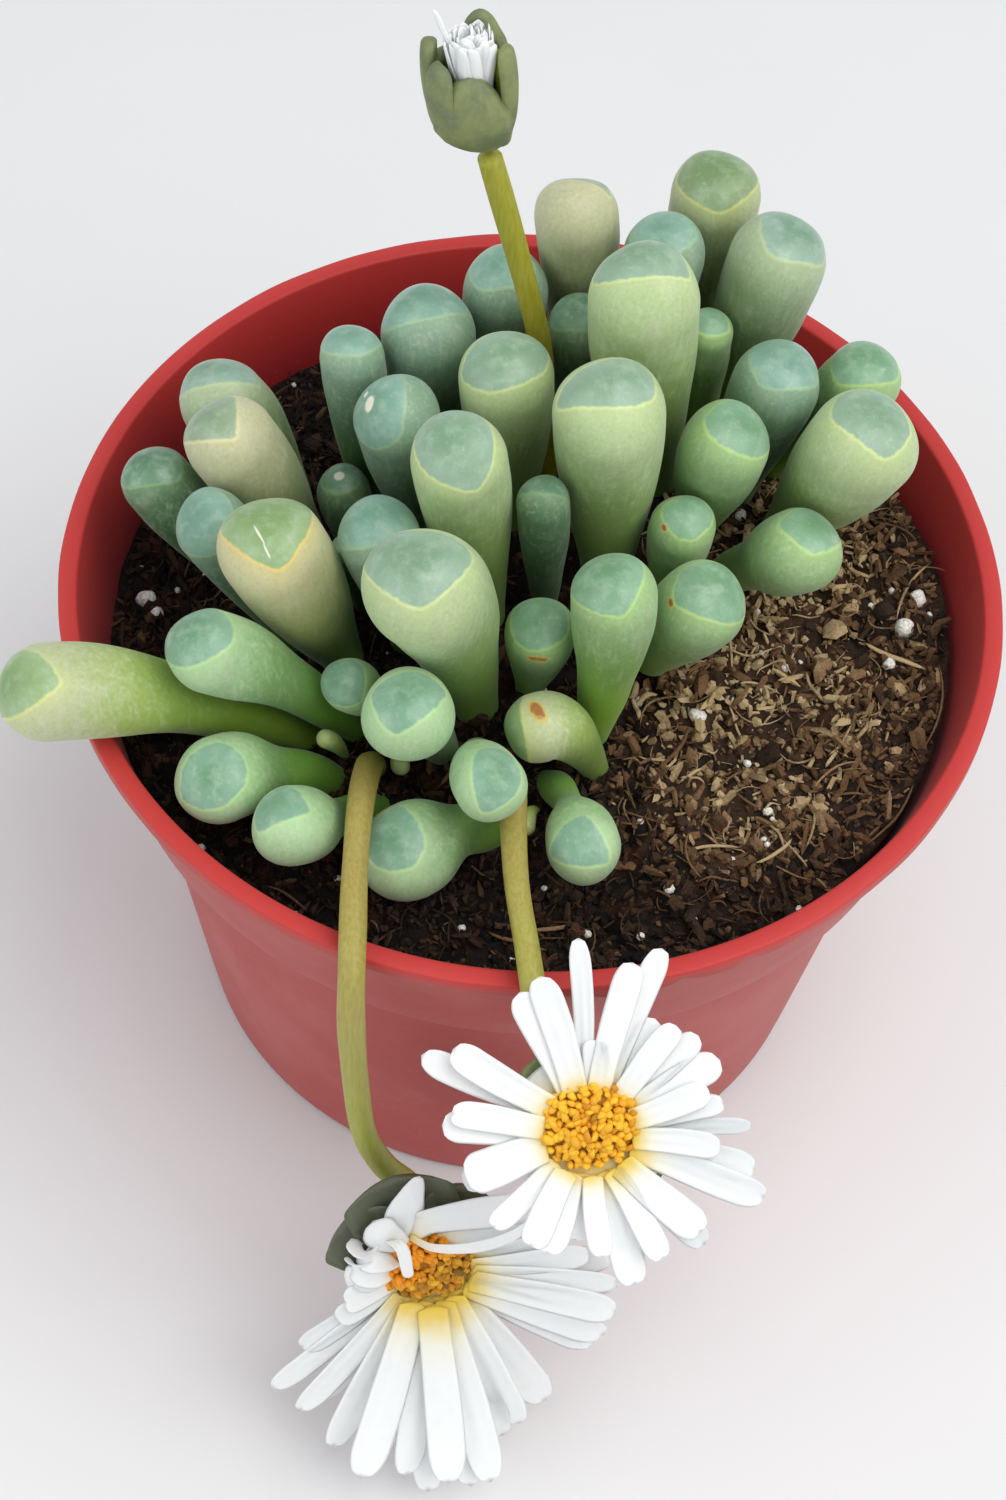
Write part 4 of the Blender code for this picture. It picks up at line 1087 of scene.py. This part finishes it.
def make_fibres():
    """Straws and rootlets that lie over the soil, most of them in its pale right half."""
    random = np.random.default_rng(22)
    x, y = strewn(random, 1300)
    count = len(x)
    turn = random.uniform(0.0, 2.0 * math.pi, count)
    ways = unit(np.stack((np.cos(turn), np.sin(turn), random.normal(0.0, 0.22, count)), -1))
    lengths = 1.2 + 5.0 * random.uniform(0.0, 1.0, count) ** 2
    starts = np.stack((x, y, ground(x, y) + random.uniform(0.3, 0.9, count)), -1)
    bends = random.normal(0.0, 0.22, count) * lengths
    widths = random.uniform(0.05, 0.17, count)
    tones = np.clip(soil_paleness(x, y) * 1.2 + 0.12 + random.normal(0.0, 0.14, count), 0.0, 1.0)
    patch = strands(starts, ways, bends, lengths, widths, tones, random)
    places = np.array(STRAWS)
    turn = np.radians(places[:, 3])
    starts = np.stack((places[:, 0], places[:, 1], ground(places[:, 0], places[:, 1]) + places[:, 2]), -1)
    ways = np.stack((np.cos(turn), np.sin(turn), 0.0 * turn), -1)
    straws = strands(starts, ways, places[:, 5], places[:, 4], places[:, 6], places[:, 7], random, sides=6)
    patch = joined([patch, straws])
    return piece("soil_fibres", patch, FINISHES["soil"], "potting_soil")


# Perlite that shows in front of the leaves: x, y and half size.
PERLITE = (
    (-42.0, 0.5, 1.15), (-40.5, -1.5, 0.7), (40.6, 2.4, 1.1), (42.0, 6.0, 0.95), (12.4, -9.5, 0.6), (29.7, -33.8, 0.4),
    (22.4, 15.6, 0.9), (18.6, -11.6, 0.95), (27.8, -20.6, 0.7), (26.3, -22.9, 0.55), (16.4, -33.6, 0.6),
    (39.0, -2.5, 0.9), (33.5, 2.5, 0.5), (24.0, -17.0, 0.45), (26.0, -26.0, 0.4), (8.5, -38.0, 0.45),
)


def make_perlite():
    """White perlite grains, some of them at places seen in front of the leaves."""
    random = np.random.default_rng(23)
    x, y = strewn(random, 110)
    x = np.concatenate((x, np.array(PERLITE)[:, 0]))
    y = np.concatenate((y, np.array(PERLITE)[:, 1]))
    size = np.concatenate((random.uniform(0.18, 0.5, len(x) - len(PERLITE)), np.array(PERLITE)[:, 2]))
    sizes = size[:, None] * random.uniform(0.75, 1.15, (len(x), 3))
    spots = np.stack((x, y, ground(x, y) + 0.55 * size), -1)
    patch = cast(PEBBLE, spots, tumbled(random, len(x)), sizes, np.ones(len(x)), random, 0.14)
    return piece("soil_perlite", patch, FINISHES["perlite"], "potting_soil")


# Stems.
def make_stem(name, knots, radius, seed, amber=0.0):
    """A stem as a tube along its smooth path, slightly ribbed, flattened and uneven in width."""
    path = smooth_path(knots, 0.6)
    ways = path_ways(path)
    side = np.array((1.0, 0.0, 0.0))
    sides, crosses = carried(path, ways, side)
    angles = np.linspace(0.0, 2.0 * math.pi, 28, endpoint=False)
    length = np.linspace(0.0, 1.0, len(path))
    width = radius * (1.0 + 0.05 * ripple(path, 14.0, seed)[:, None]
                      + 0.025 * np.cos(5.0 * angles)[None, :] + 0.02 * np.cos(2.0 * angles + 1.0)[None, :])
    grid = path[:, None] + width[..., None] * (
        np.cos(angles)[None, :, None] * sides[:, None] + np.sin(angles)[None, :, None] * crosses[:, None])
    marks = {"tone": length[:, None], "amber": amber * (1.0 - 0.5 * length[:, None])}
    patch = lattice(grid, True, (True, True), marks)
    return piece("stalk_" + name, patch, FINISHES["stem"], "stem_olive", name)


# Flowers and bud.
PETAL_START = 4.1


def facing_axes(facing):
    """Unit vectors (right, up, out) of a flower that faces along a direction."""
    out = unit(facing)
    right = np.cross((0.0, 0.0, 1.0), out)
    if np.linalg.norm(right) < 0.3:
        right = np.array((1.0, 0.0, 0.0))
    right = unit(right - out * right.dot(out))
    return right, np.cross(out, right), out


def placed(patch, centre, facing):
    """A patch made about Z, moved to a centre and turned so that its Z looks along facing."""
    axes = np.array(facing_axes(facing))
    return {**patch, "points": np.array(centre) + patch["points"] @ axes}


def blade(path, sides, ups, widths, thick, camber, grooves=0.0, notch=0.0, columns=13, marks=None):
    """A closed thin blade: a lens-shaped section carried along a path.

    Across the blade v runs from -1 to 1. Its middle line lies at camber * v^2 plus grooves that
    run lengthwise, its thickness falls to nothing at both edges, and the far end may be notched.
    """
    v = np.concatenate((np.linspace(1.0, -1.0, columns), np.linspace(-1.0, 1.0, columns)[1:-1]))
    face = np.concatenate((np.ones(columns), -np.ones(columns - 2)))
    share = np.linspace(0.0, 1.0, len(path))[:, None]
    width = widths[:, None]
    lens = 0.5 * thick * np.sqrt(np.clip(1.0 - v * v, 0.0, 1.0)) * face
    folds = grooves * np.cos(2.5 * math.pi * v) * np.sin(math.pi * np.clip(share * 1.1, 0.0, 1.0))
    height = camber * v * v * width + folds + lens * np.clip(width / widths.max() * 1.6, 0.2, 1.0)
    along = unit(np.gradient(path, axis=0))
    back = -notch * np.exp(-(v / 0.4) ** 2) * share ** 10
    grid = (path[:, None] + (v[None, :] * width)[..., None] * sides[:, None]
            + height[..., None] * ups[:, None] + back[..., None] * along[:, None])
    values = {"along": share}
    values.update(marks or {})
    return lattice(grid, True, (True, True), values)


def tip_width(share, base, widest=0.68):
    """Half width along a petal, as a share of its widest: base at its foot, a round far end."""
    rise = base + (1.0 - base) * eased(share, 0.0, widest)
    end = np.sqrt(np.clip(1.0 - (np.clip(share - 0.80, 0.0, None) / 0.20) ** 2.2, 0.0, 1.0))
    return rise * end


def petal(turn, reach, width, lift, curl, level, tone, seed, gold):
    """One petal in the flower's own frame, whose Z is the way it faces.

    It leaves the disc's edge at a turn in degrees, rises at the lift and bends by curl
    millimetres at its tip; level is how far in front of the ring it lies. gold is how far the
    yellow reaches, how much further it does on one side, and that side's turn.
    """
    random = np.random.default_rng(seed)
    share = np.linspace(0.0, 1.0, 30)
    away = PETAL_START + (reach - PETAL_START) * share
    angle = math.radians(turn)
    out = np.array((math.cos(angle), math.sin(angle), 0.0))
    across = np.array((-math.sin(angle), math.cos(angle), 0.0))
    height = level + math.tan(math.radians(lift)) * (away - PETAL_START) + curl * share ** 2.2
    drift = 0.15 * np.sin(4.0 * share + random.uniform(0.0, 6.0))
    path = away[:, None] * out + drift[:, None] * across + height[:, None] * np.array((0.0, 0.0, 1.0))
    ways = path_ways(path)
    twist = math.radians(random.uniform(-14.0, 14.0)) * share[:, None]
    sides = unit(np.cos(twist) * across + np.sin(twist) * np.array((0.0, 0.0, 1.0)))
    ups = unit(np.cross(ways, sides))
    widths = 0.5 * width * np.clip(tip_width(share, 0.80), 0.02, None)
    return blade(path, sides, ups, widths, 0.34, random.uniform(0.10, 0.22), 0.05,
                 random.uniform(0.0, 0.7),
                 marks={"tone": tone, "gold": gold[0] + gold[1] * max(0.0, math.cos(angle - math.radians(gold[2])))})


def ribbon(knots, width, side, tone, gold=0.0, taper=0.0, thick=0.34, camber=0.12):
    """A blade along a smooth curve through knots, as wide as width and flat along side."""
    path = smooth_path(knots, 0.35)
    share = np.linspace(0.0, 1.0, len(path))
    ways = path_ways(path)
    sides = np.broadcast_to(np.array(side, float), path.shape)
    sides = unit(sides - ways * (sides * ways).sum(axis=-1, keepdims=True))
    widths = 0.5 * width * np.clip(tip_width(share, 0.6) * (1.0 - taper * eased(share, 0.4, 1.0)), 0.02, None)
    marks = {"tone": tone, "gold": gold}
    return blade(path, sides, unit(np.cross(ways, sides)), widths, thick, camber, 0.04, 0.0, marks=marks)


# Petals of the right flower: turn, reach, width, lift, curl, level, grey, the painted shade on petals that lie behind
# others.
RIGHT_PETALS = (
    (159, 17.6, 2.9, 2, 0.0, 0.5, 0.1), (151, 15.6, 3.3, 5, 0.2, 1.1, 0.0),
    (181, 14.0, 3.3, 5, 0.3, 0.9, 0.0), (174, 13.4, 3.0, 9, 0.0, 1.5, 0.0),
    (203, 12.4, 4.2, 6, 0.4, 1.2, 0.0), (208, 13.2, 2.8, 0, 0.0, 0.4, 0.7),
    (230, 13.0, 2.6, 5, 0.3, 1.0, 0.0), (247, 12.2, 3.0, 8, 0.4, 1.3, 0.0), (256, 12.4, 3.2, 5, 0.4, 1.0, 0.0),
    (281, 12.0, 2.5, 8, 0.3, 1.2, 0.0), (268, 11.0, 2.8, 2, 0.0, 0.6, 0.3),
    (292, 16.0, 3.3, 3, -0.3, 0.8, 0.1), (298, 13.8, 2.6, 0, 0.0, 0.4, 0.5),
    (306, 14.2, 2.7, 6, 0.0, 1.2, 0.0), (319, 16.2, 2.9, 0, -0.3, 0.4, 0.8),
    (323, 14.5, 3.6, 5, 0.0, 1.2, 0.0), (345, 18.2, 3.4, 2, -0.4, 0.9, 0.3), (352, 16.4, 3.2, 1, 0.0, 0.5, 0.5),
    (8, 15.6, 1.9, 2, -0.3, 0.7, 0.8), (1, 12.6, 2.8, 6, 0.0, 1.2, 0.2),
    (19, 13.3, 2.3, 4, 0.0, 0.9, 0.3), (27, 12.4, 2.8, 7, 0.0, 1.3, 0.1),
    (36, 14.5, 3.3, 4, 0.0, 1.0, 0.1), (48, 14.3, 2.7, 4, 0.0, 0.8, 0.1), (58, 13.9, 2.7, 6, 0.0, 1.1, 0.1),
    (66, 13.0, 2.6, 3, 0.0, 0.6, 0.2), (75, 19.8, 2.7, 3, 0.0, 0.8, 0.0), (82, 17.8, 2.9, 4, 0.0, 1.2, 0.0),
    (90, 9.5, 2.6, 7, 0.0, 0.9, 0.2), (98, 19.6, 2.1, 6, -0.5, 0.6, 0.2),
    (111, 16.6, 3.2, 5, 0.2, 1.2, 0.0), (119, 15.6, 3.2, 4, 0.2, 0.9, 0.0),
)

# Petals of the left flower, which hangs: turn, reach, width, lift, curl, level, grey, the painted shade.
LEFT_PETALS = (
    (-143, 22.6, 3.2, 8, 0.0, 0.6, 0.2), (-134, 22.2, 3.4, 12, 0.0, 1.0, 0.1), (-128, 20.4, 3.2, 10, 0.0, 0.5, 0.3),
    (-121, 23.4, 3.8, 18, 0.0, 0.9, 0.1), (-115, 22.4, 4.4, 28, 0.0, 1.6, 0.0), (-108, 22.8, 3.4, 20, 0.0, 0.5, 0.4),
    (-101, 22.4, 3.8, 27, 0.0, 1.3, 0.0), (-95, 25.0, 3.8, 26, 0.0, 0.8, 0.2), (-90, 21.0, 4.2, 33, 0.0, 2.0, 0.0),
    (-84, 24.2, 3.6, 28, 0.0, 0.8, 0.2), (-78, 23.0, 4.0, 30, 0.0, 1.5, 0.0), (-71, 21.0, 3.4, 25, 0.0, 0.6, 0.4),
    (-65, 20.4, 4.0, 22, 0.0, 1.4, 0.1), (-57, 22.0, 4.4, 14, 0.0, 1.0, 0.2),
    (-35, 21.6, 4.4, 7, 0.0, 0.9, 0.2), (-29, 21.2, 4.4, 9, 0.0, 1.3, 0.1), (-23, 21.4, 4.4, 7, 0.0, 0.7, 0.3),
    (-17, 20.6, 4.2, 10, 0.0, 1.4, 0.1), (-11, 20.4, 4.0, 7, 0.0, 0.7, 0.3), (-5, 19.8, 4.0, 9, 0.0, 1.3, 0.1),
    (1, 19.4, 3.8, 6, 0.0, 0.6, 0.4), (8, 17.0, 3.8, 8, 0.0, 1.2, 0.2), (16, 15.4, 3.6, 7, 0.0, 0.8, 0.3),
    (24, 14.4, 3.4, 6, 0.0, 0.5, 0.4),
    (-150, 17.0, 3.4, 8, 0.0, 0.4, 0.4), (-158, 11.4, 3.8, 8, 0.6, 0.8, 0.1), (-171, 9.8, 3.8, 10, 0.8, 1.0, 0.0),
)

# Petals above the left disc, which fold across it and curl up at its left: the points that each
# passes through in the flower's own frame, width, way across, grey (painted shade), gold, taper.
UP = (0.0, 1.0, 0.0)
LEFT_FOLDED = (
    (((-3.4, 4.4, 0.8), (-3.2, 7.6, 1.4), (-2.4, 11.4, 1.6), (-1.0, 15.4, 1.2)), 4.6, (1.0, 0.0, 0.0), 0.0, 0.0, 0.6),
    (((-3.0, 6.4, 0.8), (-0.6, 8.8, 1.6), (4.0, 9.6, 1.8), (9.0, 9.8, 1.8), (13.0, 10.4, 1.4)), 5.4, UP, 0.1, 0.0, 0.1),
    (((-2.4, 6.4, 1.2), (0.2, 5.7, 2.6), (4.6, 5.6, 3.0), (8.4, 6.8, 3.0), (11.6, 8.8, 2.4)), 1.9, UP, 0.0, 0.1, 0.2),
    (((-0.6, 4.2, 0.6), (3.0, 5.2, 1.2), (8.0, 6.8, 1.4), (13.0, 8.0, 1.0)), 4.4, UP, 0.3, 0.8, 0.2),
    (((2.0, 3.2, 0.6), (6.0, 4.2, 1.0), (11.0, 5.2, 1.0), (15.6, 5.6, 0.6)), 4.6, UP, 0.2, 1.0, 0.2),
    (((-3.6, 4.6, 1.4), (-4.4, 8.2, 3.4), (-3.4, 8.2, 4.4), (-2.9, 4.6, 4.4), (-2.8, 3.0, 4.0)), 1.5, (1.0, 0.0, 0.0), 0.0, 1.4, 0.2),
    (((-2.6, 3.8, 0.8), (-4.2, 6.4, 2.2), (-5.4, 8.6, 2.6), (-6.0, 9.6, 1.4)), 4.2, (0.8, 0.6, 0.0), 0.0, 0.2, 0.0),
    (((-3.4, 2.8, 0.8), (-5.4, 4.8, 2.4), (-7.4, 6.4, 2.6), (-8.4, 7.2, 1.4)), 4.0, (0.7, -0.7, 0.0), 0.1, 0.2, 0.0),
    (((-4.0, 1.4, 0.8), (-6.0, 2.6, 2.4), (-8.0, 3.8, 2.6), (-9.0, 4.4, 1.4)), 4.2, (0.5, -0.9, 0.0), 0.0, 0.3, 0.0),
    (((-4.2, 0.2, 0.8), (-6.2, 0.6, 2.0), (-8.4, 1.0, 2.0), (-9.4, 1.0, 1.0)), 4.2, UP, 0.1, 0.3, 0.0),
)


def make_petals(side, rows, centre, facing, gold, folded=()):
    petals = [petal(*row, seed=100 + number, gold=gold) for number, row in enumerate(rows)]
    petals += [ribbon(*row) for row in folded]
    rings, _ = turned_grid(np.array([(0.0, 0.0), (7.4, 0.10), (7.8, 0.25), (7.4, 0.42), (4.0, 0.40), (0.0, 0.40)]), 90)
    share = np.array([0.0, 0.22, 0.25, 0.22, 0.04, 0.0])[:, None]
    # The ring under the petals gets tone 0.5, a painted grey shade.
    petals.append(lattice(rings, True, (True, True), {"along": share, "tone": 0.5, "gold": gold[0]}))
    patch = placed(joined(petals), centre, facing)
    return piece("flower_petals_" + side, patch, FINISHES["petal"], "petal_white", "petals_" + side)


def make_disc(side, centre, facing, seed, shift, radii, tilt, bright):
    """A cushion packed with chunky anthers on a spiral, with dark gaps between them.

    The spiral fills an ellipse of two radii, tilted and shifted in the flower's own frame. bright
    gives the tone of the grains and how orange they are.
    """
    random = np.random.default_rng(seed)
    profile = rounded([(0.0, 0.2), (0.96, 0.2), (1.0, 0.8), (0.70, 1.5), (0.0, 1.9)], 0.3)
    dome, _ = turned_grid(profile, 40)
    count = 165
    step = np.arange(count) + 0.5
    share = np.sqrt(step / count)
    turn = step * 2.39996 + random.normal(0.0, 0.10, count)
    rows = np.stack((share * np.cos(turn), share * np.sin(turn)), -1)
    gap = np.exp(-((rows[:, 0]) ** 2 + (rows[:, 1] - 0.18) ** 2) / 0.03)
    height = 2.3 - 1.3 * share ** 2.4 + random.normal(0.0, 0.16, count) - 1.0 * gap

    def stretched(points):
        x, y = points[..., 0] * radii[0], points[..., 1] * radii[1]
        lean = math.radians(tilt)
        return np.stack((x * math.cos(lean) - y * math.sin(lean) + shift[0],
                         x * math.sin(lean) + y * math.cos(lean) + shift[1]), -1)

    places = stretched(rows)
    dome = np.concatenate((stretched(dome), dome[..., 2:]), -1)
    sizes = np.stack((random.uniform(0.50, 0.78, count), random.uniform(0.34, 0.48, count),
                      random.uniform(0.30, 0.44, count)), -1)
    tones, orange = bright(*rows.T)
    # The hollow's grains are lowered and their tone cut by up to 0.5: painted shade in the hollow.
    tones = np.clip(tones + random.normal(0.0, 0.15, count) - 0.5 * gap, 0.0, 1.0)
    grains = cast(GRAIN, np.column_stack((places, height)), tumbled(random, count), sizes, tones, random, 0.26)
    grains["orange"] = np.repeat(orange * np.ones(count), len(GRAIN["points"]))[:, None]
    cushion = lattice(dome, True, (True, True), {"tone": 0.22, "orange": 0.2})
    patch = placed(joined([cushion, grains]), centre, facing)
    return piece("flower_disc_" + side, patch, FINISHES["anther"], "disc_yellow", "disc_" + side)


def make_calyx(side, centre, facing, lobes, seed):
    """The cup behind a flower and its thick sepals: a row is turn, reach, width, lift, tone."""
    profile = rounded([(0.0, -6.4), (1.6, -6.4), (4.0, -4.3), (5.6, -1.6), (5.4, -0.3), (0.0, -0.3)], 0.8, 6)
    cup, _ = turned_grid(profile, 48)
    patches = [lattice(cup, True, (True, True), {"along": 0.0, "tone": 0.0})]
    for number, (turn, reach, width, lift, tone) in enumerate(lobes):
        share = np.linspace(0.0, 1.0, 26)
        angle = math.radians(turn)
        out = np.array((math.cos(angle), math.sin(angle), 0.0))
        across = np.array((-math.sin(angle), math.cos(angle), 0.0))
        away = 3.0 + (reach - 3.0) * share
        height = -4.6 + 3.6 * eased(share, 0.0, 0.6) + math.tan(math.radians(lift)) * (away - 3.0) * 0.5
        path = away[:, None] * out + height[:, None] * np.array((0.0, 0.0, 1.0))
        sides = np.broadcast_to(across, path.shape)
        ups = unit(np.cross(path_ways(path), sides))
        widths = 0.5 * width * np.clip(tip_width(share, 0.7, 0.45), 0.03, None)
        patches.append(blade(path, sides, ups, widths, 1.0, 0.28, 0.04, 0.0, marks={"tone": tone}))
    patch = placed(joined(patches), centre, facing)
    return piece("flower_calyx_" + side, patch, FINISHES["sepal"], "sepal_green", "calyx_" + side)


def cup_lobe(turn, half, knots, thick, tone=0.0, taper=0.0, foot=0.55):
    """A thick sepal of the bud: a blade along a curve of (distance, height) at a turn."""
    curve = smooth_path([(away, 0.0, height) for away, height in knots], 0.35)
    share = np.linspace(0.0, 1.0, len(curve))
    angle = math.radians(turn)
    path = curve @ np.array(((math.cos(angle), math.sin(angle), 0.0), (0.0, 0.0, 0.0), (0.0, 0.0, 1.0)))
    across = np.broadcast_to((-math.sin(angle), math.cos(angle), 0.0), path.shape)
    widths = half * np.clip(tip_width(share, foot, 0.4) * (1.0 - taper * eased(share, 0.4, 1.0)), 0.03, None)
    return blade(path, across, unit(np.cross(path_ways(path), across)), widths, thick, 0.30, marks={"tone": tone})


def make_bud():
    """The closed bud: thick sepals round a sheaf of furled white petals, all set to the left."""
    lobes = [
        cup_lobe(-86, 3.9, ((0.6, 0.7), (2.0, 1.8), (3.1, 3.5), (3.4, 5.6), (3.0, 7.7), (2.3, 9.5)), 1.5, 0.0, 0.45, 0.8),
        cup_lobe(-148, 2.7, ((0.6, 0.8), (2.2, 1.9), (3.4, 3.9), (3.8, 6.5), (3.5, 8.8), (2.8, 10.8)), 1.6, 0.0, 0.25, 0.6),
        cup_lobe(172, 1.35, ((0.8, 0.8), (2.4, 2.0), (3.7, 4.4), (4.0, 7.5), (3.8, 10.4), (3.4, 12.3)), 1.5),
        cup_lobe(-10, 1.6, ((0.8, 0.6), (2.3, 1.4), (3.4, 3.6), (4.0, 7.0), (4.1, 9.8), (3.9, 11.8)), 1.4),
        cup_lobe(48, 2.6, ((0.8, 0.6), (2.2, 1.8), (3.4, 3.8), (3.7, 7.0), (3.2, 9.6)), 1.4, 0.4),
        cup_lobe(100, 2.8, ((0.8, 0.6), (2.2, 1.8), (3.4, 3.8), (3.7, 7.0), (3.2, 9.4)), 1.4),
        cup_lobe(140, 2.6, ((0.8, 0.6), (2.2, 1.8), (3.4, 3.8), (3.7, 7.0), (3.2, 10.0)), 1.4),
        ribbon(((2.6, -0.2, 4.0), (3.2, -0.1, 6.4), (3.3, -0.2, 8.8), (3.5, -0.3, 11.0)), 2.8, (0.85, -0.5, 0.0), 1.0, 0.0,
               0.1, 0.9, 0.2),
        ribbon(((3.4, 2.2, 6.0), (3.3, 2.0, 9.9), (2.75, 2.0, 11.6), (2.2, 2.0, 13.0), (1.4, 2.0, 13.6), (0.5, 2.0, 13.0),
                (-0.3, 1.9, 12.0)), 1.9, (0.25, 0.95, 0.0), 0.1, 0.0, 0.5, 0.8, 0.15),
    ]
    profile = rounded([(0.0, 0.0), (0.8, 0.0), (2.2, 1.5), (3.1, 3.4), (2.8, 4.8), (0.0, 4.6)], 0.8, 6)
    cup, _ = turned_grid(profile, 40)
    lobes.append(lattice(cup, True, (True, True), {"along": 0.0, "tone": 0.0}))
    cup = joined([{**lobe, "gold": 0.0 * lobe["along"]} for lobe in lobes])

    random = np.random.default_rng(41)
    count = 44
    furled = []
    for number in range(count):
        turn = math.radians(number * 137.5 + random.uniform(-12.0, 12.0))
        ring = math.sqrt((number + 0.5) / count)
        top = 12.2 + 1.2 * (1.0 - ring) + random.uniform(-0.3, 0.6)
        foot, waist, end = 0.5 + 0.8 * ring, 0.3 + 1.5 * ring, 0.3 + 2.2 * ring + random.uniform(-0.1, 0.3)
        places = ((foot, 0.0, 4.0), (waist, 0.1, 7.4), (0.4 * waist + 0.6 * end, 0.2, 9.8),
                  (end, random.uniform(0.1, 0.4), top))
        knots = [(0.4 + away * math.cos(turn + swing), away * math.sin(turn + swing), height)
                 for away, swing, height in places]
        # Each furled petal gets a random tone up to 0.35, a painted grey shade within the sheaf.
        furled.append(ribbon(knots, random.uniform(1.7, 2.7), (-math.sin(turn), math.cos(turn), 0.0),
                             random.uniform(0.0, 0.35), 0.0, 0.3, 0.26, 0.35))
    # The loose petal on top gets tone 0.3, a painted grey shade.
    furled.append(ribbon(((-0.6, -0.5, 9.6), (-1.3, -0.5, 12.0), (-1.75, -0.5, 13.4), (-2.1, -0.4, 14.7), (-2.5, -0.4, 15.9)),
                         0.6, (1.0, 0.0, 0.0), 0.3))
    for name, patch, finish, slot, node in (("bud_cup", cup, "sepal", "sepal_green", "bud_sepals"),
                                            ("bud_furl", joined(furled), "petal", "petal_white", "bud_petals")):
        points = patch["points"].copy()
        points[:, 0] -= 0.85 * eased(points[:, 2], -0.5, 2.5)
        piece(name, placed({**patch, "points": points}, BUD_FOOT, BUD_FACING), FINISHES[finish], slot, node)


# Camera, floor and light.
def make_camera():
    """The photograph's camera, fitted to the rim, the collar and the foot of the pot."""
    data = bpy.data.cameras.new("camera")
    data.sensor_fit = "VERTICAL"
    data.sensor_height = 24.0
    data.lens = 24.0 * 2690.2 / 1500.0
    data.clip_start = 0.01
    camera = bpy.data.objects.new("camera", data)
    bpy.context.scene.collection.objects.link(camera)
    turn = (Matrix.Rotation(math.radians(33.97), 4, "X") @ Matrix.Rotation(math.radians(0.32), 4, "Y")
            @ Matrix.Rotation(math.radians(4.94), 4, "Z"))
    camera.matrix_world = Matrix.Translation((0.0, -0.17502, 0.29403)) @ turn
    bpy.context.scene.camera = camera


def make_floor():
    mesh = bpy.data.meshes.new("floor")
    half = 3.0
    mesh.from_pydata([(-half, -half, 0.0), (half, -half, 0.0), (half, half, 0.0), (-half, half, 0.0)],
                     [], [(0, 1, 2, 3)])
    finish = Finish("floor_white", Roughness=0.8, Specular_IOR_Level=0.2)
    grain = finish.noise(40.0, 2.0)
    mesh.materials.append(finish.wear(Base_Color=finish.mix(grain, tint(228, 229, 231), tint(232, 233, 234))))
    floor = bpy.data.objects.new("floor", mesh)
    bpy.context.scene.collection.objects.link(floor)


def make_light(name, place, size, power, aim_at, colour=(1.0, 1.0, 1.0)):
    """A square area light that looks at a point."""
    data = bpy.data.lights.new(name, "AREA")
    data.size = size
    data.energy = power
    data.color = colour
    light = bpy.data.objects.new(name, data)
    bpy.context.scene.collection.objects.link(light)
    back = unit(np.array(place) - np.array(aim_at))
    right = unit(np.cross((0.0, 0.0, 1.0), back))
    up = np.cross(back, right)
    turn = Matrix((right, up, back)).transposed().to_4x4()
    light.matrix_world = Matrix.Translation(place) @ turn


def make_world():
    world = bpy.data.worlds.new("studio")
    world.use_nodes = True
    back = world.node_tree.nodes["Background"]
    back.inputs["Color"].default_value = (0.95, 0.98, 1.0, 1.0)
    back.inputs["Strength"].default_value = 0.62
    bpy.context.scene.world = world
    bpy.context.scene.view_settings.view_transform = "Standard"


FINISHES = {
    "soil": soil_finish(),
    "perlite": perlite_finish(),
    "stem": stem_finish(),
    "sepal": sepal_finish(),
    "petal": petal_finish(),
    "anther": anther_finish(),
}


def main():
    make_camera()
    make_world()
    make_floor()
    make_light("key", (0.26, -0.12, 0.58), 0.55, 2.6, (0.0, 0.0, 0.06), (1.0, 0.98, 0.95))
    make_light("fill", (-0.45, -0.30, 0.35), 0.6, 1.0, (0.0, 0.0, 0.05), (0.95, 0.98, 1.0))
    make_pot()
    make_soil_bed()
    make_crumbs()
    make_fibres()
    make_perlite()
    make_leaves()
    make_stem("stem_left", STEM_LEFT, STEM_LEFT_RADIUS, 31)
    make_stem("stem_right", STEM_RIGHT, STEM_RIGHT_RADIUS, 32)
    make_stem("stem_bud", STEM_BUD, STEM_BUD_RADIUS, 33, 1.0)
    # Left calyx: the tones -1 and -0.7 are painted shade on the sepals behind the flower, and 0.3 on the lobe at 10
    # degrees is a painted yellow-green highlight.
    make_calyx("left", LEFT_CENTRE, LEFT_FACING, (
        (140, 11.6, 10.4, 0, -1.0), (106, 13.8, 12.0, 0, -1.0), (70, 11.6, 8.0, 0, -0.7), (10, 9.0, 5.6, 0, 0.3),
        (-150, 9.0, 5.6, 0, 0.0), (-60, 9.0, 5.6, 0, 0.0)), 51)
    # Right calyx: the tone -0.5 on the lobe at 195 degrees is painted shade.
    make_calyx("right", RIGHT_CENTRE, RIGHT_FACING, (
        (195, 9.6, 5.6, 0, -0.5), (130, 8.6, 5.6, 0, 0.0), (55, 8.6, 5.6, 0, 0.0), (-15, 8.6, 5.6, 0, 0.0),
        (-80, 8.6, 5.6, 0, 0.0)), 52)
    make_petals("left", LEFT_PETALS, LEFT_CENTRE, LEFT_FACING, (0.1, 0.7, -60), LEFT_FOLDED)
    make_petals("right", RIGHT_PETALS, RIGHT_CENTRE, RIGHT_FACING, (0.0, 0.8, -10))
    make_disc("left", LEFT_CENTRE, LEFT_FACING, 61, (-0.7, 1.2), (4.9, 4.7), 0,
              lambda x, y: (0.42 + 0.45 * eased(y - x, -0.5, 0.8), eased(y - x, -0.3, 0.6)))
    make_disc("right", RIGHT_CENTRE, RIGHT_FACING, 62, (-0.1, 0.9), (5.0, 4.2), 15,
              lambda x, y: (0.80 - 0.30 * eased(x, 0.6, 0.95), 0.10))
    make_bud()


main()
